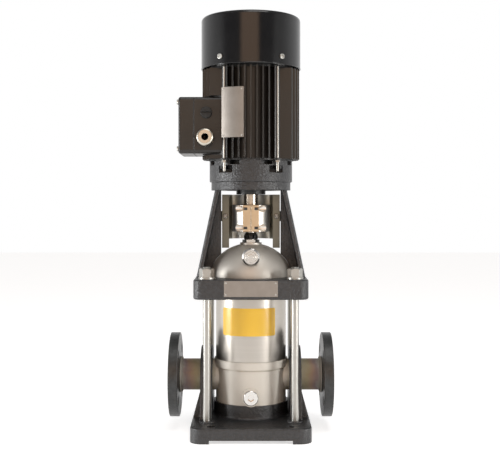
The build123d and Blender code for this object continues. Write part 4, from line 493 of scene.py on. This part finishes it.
def piece(name, verts, faces, slot, body, angle=35):
    """A closed mesh, smooth except at its sharp edges, finished and joined to its body."""
    mesh = bpy.data.meshes.new(name)
    mesh.from_pydata([tuple(v) for v in verts], [], faces)
    mesh.validate()
    made = bpy.data.objects.new(name, mesh)
    bpy.context.scene.collection.objects.link(made)
    mesh.materials.append(FINISHES[slot])
    mesh.shade_smooth()
    bpy.context.view_layer.objects.active = made
    made.select_set(True)
    bpy.ops.object.mode_set(mode="EDIT")
    bpy.ops.mesh.select_all(action="SELECT")
    bpy.ops.mesh.normals_make_consistent(inside=False)
    bpy.ops.object.mode_set(mode="OBJECT")
    bpy.ops.object.shade_smooth_by_angle(angle=radians(angle))
    made.select_set(False)
    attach(made, body)
    return made


def frame_at(origin, axis):
    """A placing whose Z runs along an axis."""
    turn = Vector(axis).normalized().to_track_quat("Z", "Y").to_matrix().to_4x4()
    return Matrix.Translation(Vector(origin)) @ turn


def lathe(profile, segments, matrix, alter=None):
    """Vertices and faces of a profile of (radius, height) turned about Z, then placed."""
    verts, faces, rings = [], [], []
    for index, (radius, height) in enumerate(profile):
        if radius < 1e-7:
            rings.append([len(verts)])
            point = (0.0, 0.0, height)
            verts.append(matrix @ Vector(alter(index, *point) if alter else point))
            continue
        ring = []
        for i in range(segments):
            angle = 2 * pi * i / segments
            point = (radius * cos(angle), radius * sin(angle), height)
            ring.append(len(verts))
            verts.append(matrix @ Vector(alter(index, *point) if alter else point))
        rings.append(ring)
    for low, high in zip(rings, rings[1:]):
        for i in range(segments):
            j = (i + 1) % segments
            if len(low) == 1:
                faces.append((low[0], high[j], high[i]))
            elif len(high) == 1:
                faces.append((low[i], low[j], high[0]))
            else:
                faces.append((low[i], low[j], high[j], high[i]))
    if len(rings[0]) > 1:
        for i in range(segments):
            j = (i + 1) % segments
            faces.append((rings[-1][i], rings[-1][j], rings[0][j], rings[0][i]))
    return verts, faces


def gathered(parts):
    """Several vertex and face lists as one."""
    verts, faces = [], []
    for more_verts, more_faces in parts:
        start = len(verts)
        verts += more_verts
        faces += [tuple(start + i for i in face) for face in more_faces]
    return verts, faces


# Screws with cross recesses

RECESS_REACH = 0.62
RECESS_HALF = 0.17
RECESS_DEPTH = 0.5


def cross_screw(origin, axis, head_r, head_height, shank_r, shank_length):
    """A pan-head screw with a cross recess, from its shank's tip to its head."""
    profile = [(0, -shank_length), (shank_r * 0.7, -shank_length), (shank_r, -shank_length * 0.93)]
    profile += [(shank_r, 0), (head_r * 0.97, 0), (head_r, head_height * 0.12)]
    for step in range(1, 8):
        turn = pi / 2 * step / 8
        top = head_height * (0.35 + 0.65 * sin(turn))
        profile.append((head_r * (0.72 + 0.28 * cos(turn)), top))
    flat = len(profile)
    for step in range(1, 11):
        share = 1 - step / 10
        profile.append((head_r * 0.72 * share, head_height * (1 - 0.02 * share)))
    reach = head_r * RECESS_REACH
    half = head_r * RECESS_HALF

    def recess(index, x, y, z):
        if index < flat:
            return x, y, z
        arm = max(min(1 - abs(x) / half, 1 - abs(y) / half) + 0.35, 0)
        narrow = min(abs(x), abs(y)) < half
        inside = narrow and sqrt(x * x + y * y) < reach
        slope = 1 - sqrt(x * x + y * y) / reach
        depth = head_height * RECESS_DEPTH * min(1.0, 0.55 + slope + 0.1 * arm) if inside else 0
        return x, y, z - depth

    return lathe(profile, 64, frame_at(origin, axis), recess)


def screw_set(name, replaced, places, sizes):
    """Screws at (origin, axis) places; sizes are head radius, head height, shank radius and length."""
    verts, faces = gathered([cross_screw(origin, axis, *sizes) for origin, axis in places])
    made = piece(name, verts, faces, "zinc_steel", "pump", 30)
    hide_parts(replaced)


cover_low, cover_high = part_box("fan_cover")
COVER_R = cover_high.x
screws_low, screws_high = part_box("fan_cover_screws")
COVER_SCREW_Z = (screws_low.z + screws_high.z) / 2
COVER_SCREW_ANGLE = radians(36.6)
COVER_SCREW = (4.8 * MM, 3 * MM, 2.4 * MM, 12.5 * MM)
around_cover = []
for middle in (pi / 2, -pi / 2):
    for turn in (middle - COVER_SCREW_ANGLE, middle + COVER_SCREW_ANGLE):
        outward = Vector((cos(turn), sin(turn), 0))
        around_cover.append((outward * COVER_R + Vector((0, 0, COVER_SCREW_Z)), outward))
screw_set("cover_cross_screws", "fan_cover_screws", around_cover, COVER_SCREW)

GUARD_HEAD_R = 4.6 * MM
GUARD_HEAD = 3.4 * MM
GUARD_SCREW = (GUARD_HEAD_R, GUARD_HEAD, 2.4 * MM, 16.5 * MM)
guard_low, guard_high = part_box("guard_screws")
guard_z = (guard_low.z + guard_high.z) / 2
guard_x = guard_high.x - GUARD_HEAD_R
guard_y = guard_low.y + GUARD_HEAD
guard_places = [(Vector((x, guard_y, guard_z)), (0, -1, 0)) for x in (-guard_x, guard_x)]
screw_set("guard_cross_screws", "guard_screws", guard_places, GUARD_SCREW)

lid_low, lid_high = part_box("terminal_lid")
LID_SCREW = (4.5 * MM, 3 * MM, 2.4 * MM, 30 * MM)
LID_INSET = 8.5 * MM
lid_places = [
    (Vector((lid_low.x, y, z)), (-1, 0, 0))
    for y in (lid_low.y + LID_INSET, lid_high.y - LID_INSET)
    for z in (lid_low.z + LID_INSET, lid_high.z - LID_INSET)
]
screw_set("lid_cross_screws", "terminal_lid_screws", lid_places, LID_SCREW)

# Threads that stand above the nuts


def threaded(radius, low, high, pitch, depth, x, y):
    """A short run of thread round a rod, faded out at both ends."""
    steps = max(8, int((high - low) / pitch * 8))
    segments = 40
    verts, faces = [], []
    for level in range(steps + 1):
        height = low + (high - low) * level / steps
        fade = min(1.0, level / 3, (steps - level) / 3)
        for i in range(segments):
            share = i / segments
            wave = abs(((height / pitch - share) % 1.0) - 0.5) * 2
            r = radius * 0.985 + fade * depth * wave
            angle = 2 * pi * share
            verts.append((x + r * cos(angle), y + r * sin(angle), height))
    for level in range(steps):
        for i in range(segments):
            j = (i + 1) % segments
            a, b = level * segments, (level + 1) * segments
            faces.append((a + i, a + j, b + j, b + i))
    faces.append(tuple(range(segments))[::-1])
    faces.append(tuple(steps * segments + i for i in range(segments)))
    return verts, faces


STAY_R = 6.5 * MM
THREAD_PITCH = 1.2 * MM
THREAD_DEPTH = 0.5 * MM
_, stay_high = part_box("staybolts")
_, nut_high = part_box("staybolt_nuts")
STAY = stay_high.x - STAY_R
thread_low = nut_high.z - 1 * MM
thread_high = stay_high.z - 0.9 * MM
runs = [
    threaded(STAY_R, thread_low, thread_high, THREAD_PITCH, THREAD_DEPTH, x, y)
    for x in (-STAY, STAY)
    for y in (-STAY, STAY)
]
piece("staybolt_threads", *gathered(runs), "zinc_steel", "pump", 20)

# Weld beads where the pipe stubs meet their flanges

flange_low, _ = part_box("discharge_flange")
PIPE_R = 27 * MM
BEAD_R = 2.6 * MM
BEAD_MIDDLE_R = PIPE_R + 1.6 * MM
BEAD_X = flange_low.x + 2.8 * MM


def weld_bead(side):
    """A rippled bead round the pipe, in the corner with the flange."""
    around, across = 260, 10
    verts, faces = [], []
    for i in range(around):
        angle = 2 * pi * i / around
        ripple = abs(sin(angle * 30)) ** 0.6
        size = BEAD_R * (0.86 + 0.16 * ripple)
        for k in range(across):
            turn = 2 * pi * k / across
            r = BEAD_MIDDLE_R + size * sin(turn)
            x = side * BEAD_X + size * cos(turn) * 1.15
            verts.append((x, r * cos(angle), PORT_Z + r * sin(angle)))
    for i in range(around):
        for k in range(across):
            a, b = i * across, ((i + 1) % around) * across
            after = (k + 1) % across
            faces.append((a + k, a + after, b + after, b + k))
    return verts, faces


for bead, side in (("suction_weld_bead", -1), ("discharge_weld_bead", 1)):
    piece(bead, *weld_bead(side), "stainless_cast", "pump", 60)

# Rivets that hold the two plates


def rivet(origin, axis):
    """A small round-headed rivet, with a short shank in the plate."""
    radius, height, shank = 1.5 * MM, 0.8 * MM, 1 * MM
    profile = [(0, -shank), (radius * 0.6, -shank), (radius * 0.6, 0), (radius, 0)]
    for step in range(1, 7):
        turn = pi / 2 * step / 6
        profile.append((radius * cos(turn) if step < 6 else 0, height * sin(turn)))
    return lathe(profile, 20, frame_at(origin, axis))


plate_low, plate_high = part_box("head_nameplate")
RIVET_INSET = 3.4 * MM
rivets = [
    rivet((x, plate_low.y, z), (0, -1, 0))
    for x in (plate_low.x + RIVET_INSET, plate_high.x - RIVET_INSET)
    for z in (plate_low.z + RIVET_INSET, plate_high.z - RIVET_INSET)
]
motor_low, motor_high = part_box("motor_nameplate")
MOTOR_PLATE_R = COVER_R + 0.4 * MM
for degrees_off in (-32.3, -10.2):
    turn = radians(degrees_off)
    outward = Vector((sin(turn), -cos(turn), 0))
    for z in (motor_low.z + RIVET_INSET, motor_high.z - RIVET_INSET):
        spot = outward * MOTOR_PLATE_R + Vector((0, 0, z))
        rivets.append(rivet(spot, outward))
piece("plate_rivets", *gathered(rivets), "zinc_steel", "pump")

# The blank label, with rounded corners, on the sleeve


def film(name, radius, left, right, low, high):
    """A film wrapped on a cylinder about the shaft's axis, with rounded corners."""
    thickness, sunk, corner = 0.3 * MM, 0.05 * MM, 3 * MM
    columns, rows = 64, 24
    width = radians(right - left) * radius
    height = high - low
    verts, faces = [], []
    for skin in (thickness, -sunk):
        for row in range(rows + 1):
            for column in range(columns + 1):
                u = width * column / columns
                v = height * row / rows
                du = max(corner - u, corner - (width - u), 0)
                dv = max(corner - v, corner - (height - v), 0)
                if du > 0 and dv > 0:
                    reach = sqrt(du * du + dv * dv)
                    if reach > corner:
                        u += (du - du * corner / reach) * (1 if u < width / 2 else -1)
                        v += (dv - dv * corner / reach) * (1 if v < height / 2 else -1)
                turn = radians(left) + u / radius
                r = radius + skin
                verts.append((r * sin(turn), -r * cos(turn), low + v))
    count = (rows + 1) * (columns + 1)

    def at(skin, row, column):
        return skin * count + row * (columns + 1) + column

    for row in range(rows):
        for column in range(columns):
            for skin in (0, 1):
                quad = (at(skin, row, column), at(skin, row, column + 1))
                quad += (at(skin, row + 1, column + 1), at(skin, row + 1, column))
                faces.append(quad if skin == 0 else quad[::-1])
    rim = [(0, c) for c in range(columns)] + [(r, columns) for r in range(rows)]
    rim += [(rows, c) for c in range(columns, 0, -1)] + [(r, 0) for r in range(rows, 0, -1)]
    for here, there in zip(rim, rim[1:] + rim[:1]):
        faces.append((at(0, *there), at(0, *here), at(1, *here), at(1, *there)))
    return piece(name, verts, faces, "label_yellow", "pump", 50)


label_low, label_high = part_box("sleeve_label")
_, sleeve_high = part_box("outer_sleeve")
label = film("blank_label", sleeve_high.x, -50.5, 42.0, label_low.z, label_high.z)
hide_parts("sleeve_label")

# The cover's rolled hem


def hem(radius, height, size):
    """A small round bead along the cover's lower edge."""
    profile = []
    for step in range(12):
        turn = 2 * pi * step / 12
        profile.append((radius + size * cos(turn), height + size * sin(turn)))
    return lathe(profile, 160, Matrix.Identity(4))


HEM_R = 1.1 * MM
hem_mesh = hem(COVER_R - 0.6 * MM, cover_low.z + HEM_R, HEM_R)
piece("cover_hem", *hem_mesh, "cover_black", "pump", 60)

# The gland's rubber seal


gland_low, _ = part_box("cable_gland_nut")
gland_seal = [
    (6.05, -14.0), (8.0, -14.0), (8.4, -1.2), (7.9, -0.5), (7.0, -0.8), (6.3, -2.2), (6.05, -4.0),
]
placing = frame_at((GLAND_X, gland_low.y, GLAND_Z), (0, -1, 0))
seal_mesh = lathe([(r * MM, h * MM) for r, h in gland_seal], 48, placing)
piece("gland_seal", *seal_mesh, "seal_rubber", "pump")

# Floor, light and camera


def floor():
    """A pale floor that shows as white and keeps the object's shadow."""
    size = 6.0
    mesh = bpy.data.meshes.new("floor")
    corners = [(-size, -size, 0), (size, -size, 0), (size, size, 0), (-size, size, 0)]
    mesh.from_pydata(corners, [], [(0, 1, 2, 3)])
    made = bpy.data.objects.new("floor", mesh)
    bpy.context.scene.collection.objects.link(made)
    material = bpy.data.materials.new("floor_white")
    material.use_nodes = True
    tree = material.node_tree
    shader = tree.nodes["Principled BSDF"]
    shader.inputs["Base Color"].default_value = (0.8, 0.8, 0.8, 1)
    shader.inputs["Roughness"].default_value = 0.9
    shader.inputs["Specular IOR Level"].default_value = 0.0
    path = node(tree, "ShaderNodeLightPath").outputs
    seen = sums(tree, "MAXIMUM", path["Is Camera Ray"], path["Is Glossy Ray"])
    seen = sums(tree, "MAXIMUM", seen, path["Is Transmission Ray"])
    lift = node(tree, "ShaderNodeEmission", {"Color": (1, 1, 1, 1)})
    linked(tree, lift.inputs["Strength"], sums(tree, "MULTIPLY", seen, 0.6))
    both = node(tree, "ShaderNodeAddShader")
    linked(tree, both.inputs[0], shader.outputs[0])
    linked(tree, both.inputs[1], lift.outputs[0])
    linked(tree, tree.nodes["Material Output"].inputs["Surface"], both.outputs[0])
    mesh.materials.append(material)


def softbox(name, azimuth, distance, height, width, tall, watts, colour):
    """A tall soft light facing the shaft's axis; azimuth 0 is at the front."""
    light = bpy.data.lights.new(name, "AREA")
    light.shape = "RECTANGLE"
    light.size = width
    light.size_y = tall
    light.energy = watts
    light.color = colour
    made = bpy.data.objects.new(name, light)
    turn = radians(azimuth)
    made.location = (sin(turn) * distance, -cos(turn) * distance, height)
    aim = Vector((0, 0, 0.36)) - made.location
    made.rotation_euler = aim.to_track_quat("-Z", "Y").to_euler()
    bpy.context.scene.collection.objects.link(made)


def studio():
    """White behind; warm in front, with a bright band higher up; dim overhead; three soft lights."""
    world = bpy.data.worlds.new("studio")
    bpy.context.scene.world = world
    world.use_nodes = True
    tree = world.node_tree
    background = tree.nodes["Background"]
    toward = node(tree, "ShaderNodeTexCoord").outputs["Generated"]
    ways = node(tree, "ShaderNodeSeparateXYZ", {"Vector": toward}).outputs
    behind = span(tree, ways["Y"], -0.45, 0.35)
    low = blended(tree, behind, (0.74, 0.66, 0.57), (0.95, 0.95, 0.95))
    off_centre = sums(tree, "ABSOLUTE", sums(tree, "ADD", ways["X"], 0.04))
    band = blended(tree, span(tree, off_centre, 0.26, 0.42), (1.7, 1.15, 0.8), (0.14, 0.14, 0.15))
    band = blended(tree, span(tree, off_centre, 0.78, 0.92), band, (0.5, 0.5, 0.5))
    band = blended(tree, behind, band, (0.95, 0.95, 0.95))
    around = blended(tree, span(tree, ways["Z"], 0.05, 0.14), low, band)
    overhead = span(tree, ways["Z"], 0.3, 0.75)
    around = blended(tree, overhead, around, (0.32, 0.32, 0.32))
    path = node(tree, "ShaderNodeLightPath").outputs
    seen = sums(tree, "MAXIMUM", path["Is Camera Ray"], path["Is Transmission Ray"])
    linked(tree, background.inputs["Color"], blended(tree, seen, around, (1.0, 1.0, 1.0)))
    softbox("left_softbox", -74, 1.7, 0.36, 0.5, 0.7, 17, (0.98, 0.99, 1.0))
    softbox("right_softbox", 57, 1.7, 0.36, 0.4, 0.7, 11, (1.0, 0.99, 0.97))
    softbox("top_softbox", 20, 0.9, 2.2, 1.2, 1.2, 14, (1.0, 0.98, 0.96))


def camera():
    """Level with the coupling, straight in front."""
    data = bpy.data.cameras.new("camera")
    data.lens = 64.8
    data.sensor_width = 36.0
    data.shift_x = -0.0018
    data.shift_y = -0.036
    data.dof.use_dof = False
    made = bpy.data.objects.new("camera", data)
    made.location = (0, -1.575, 0.383)
    made.rotation_euler = (pi / 2, 0, 0)
    bpy.context.scene.collection.objects.link(made)
    bpy.context.scene.camera = made
    bpy.context.scene.view_settings.view_transform = "Standard"


floor()
studio()
camera()
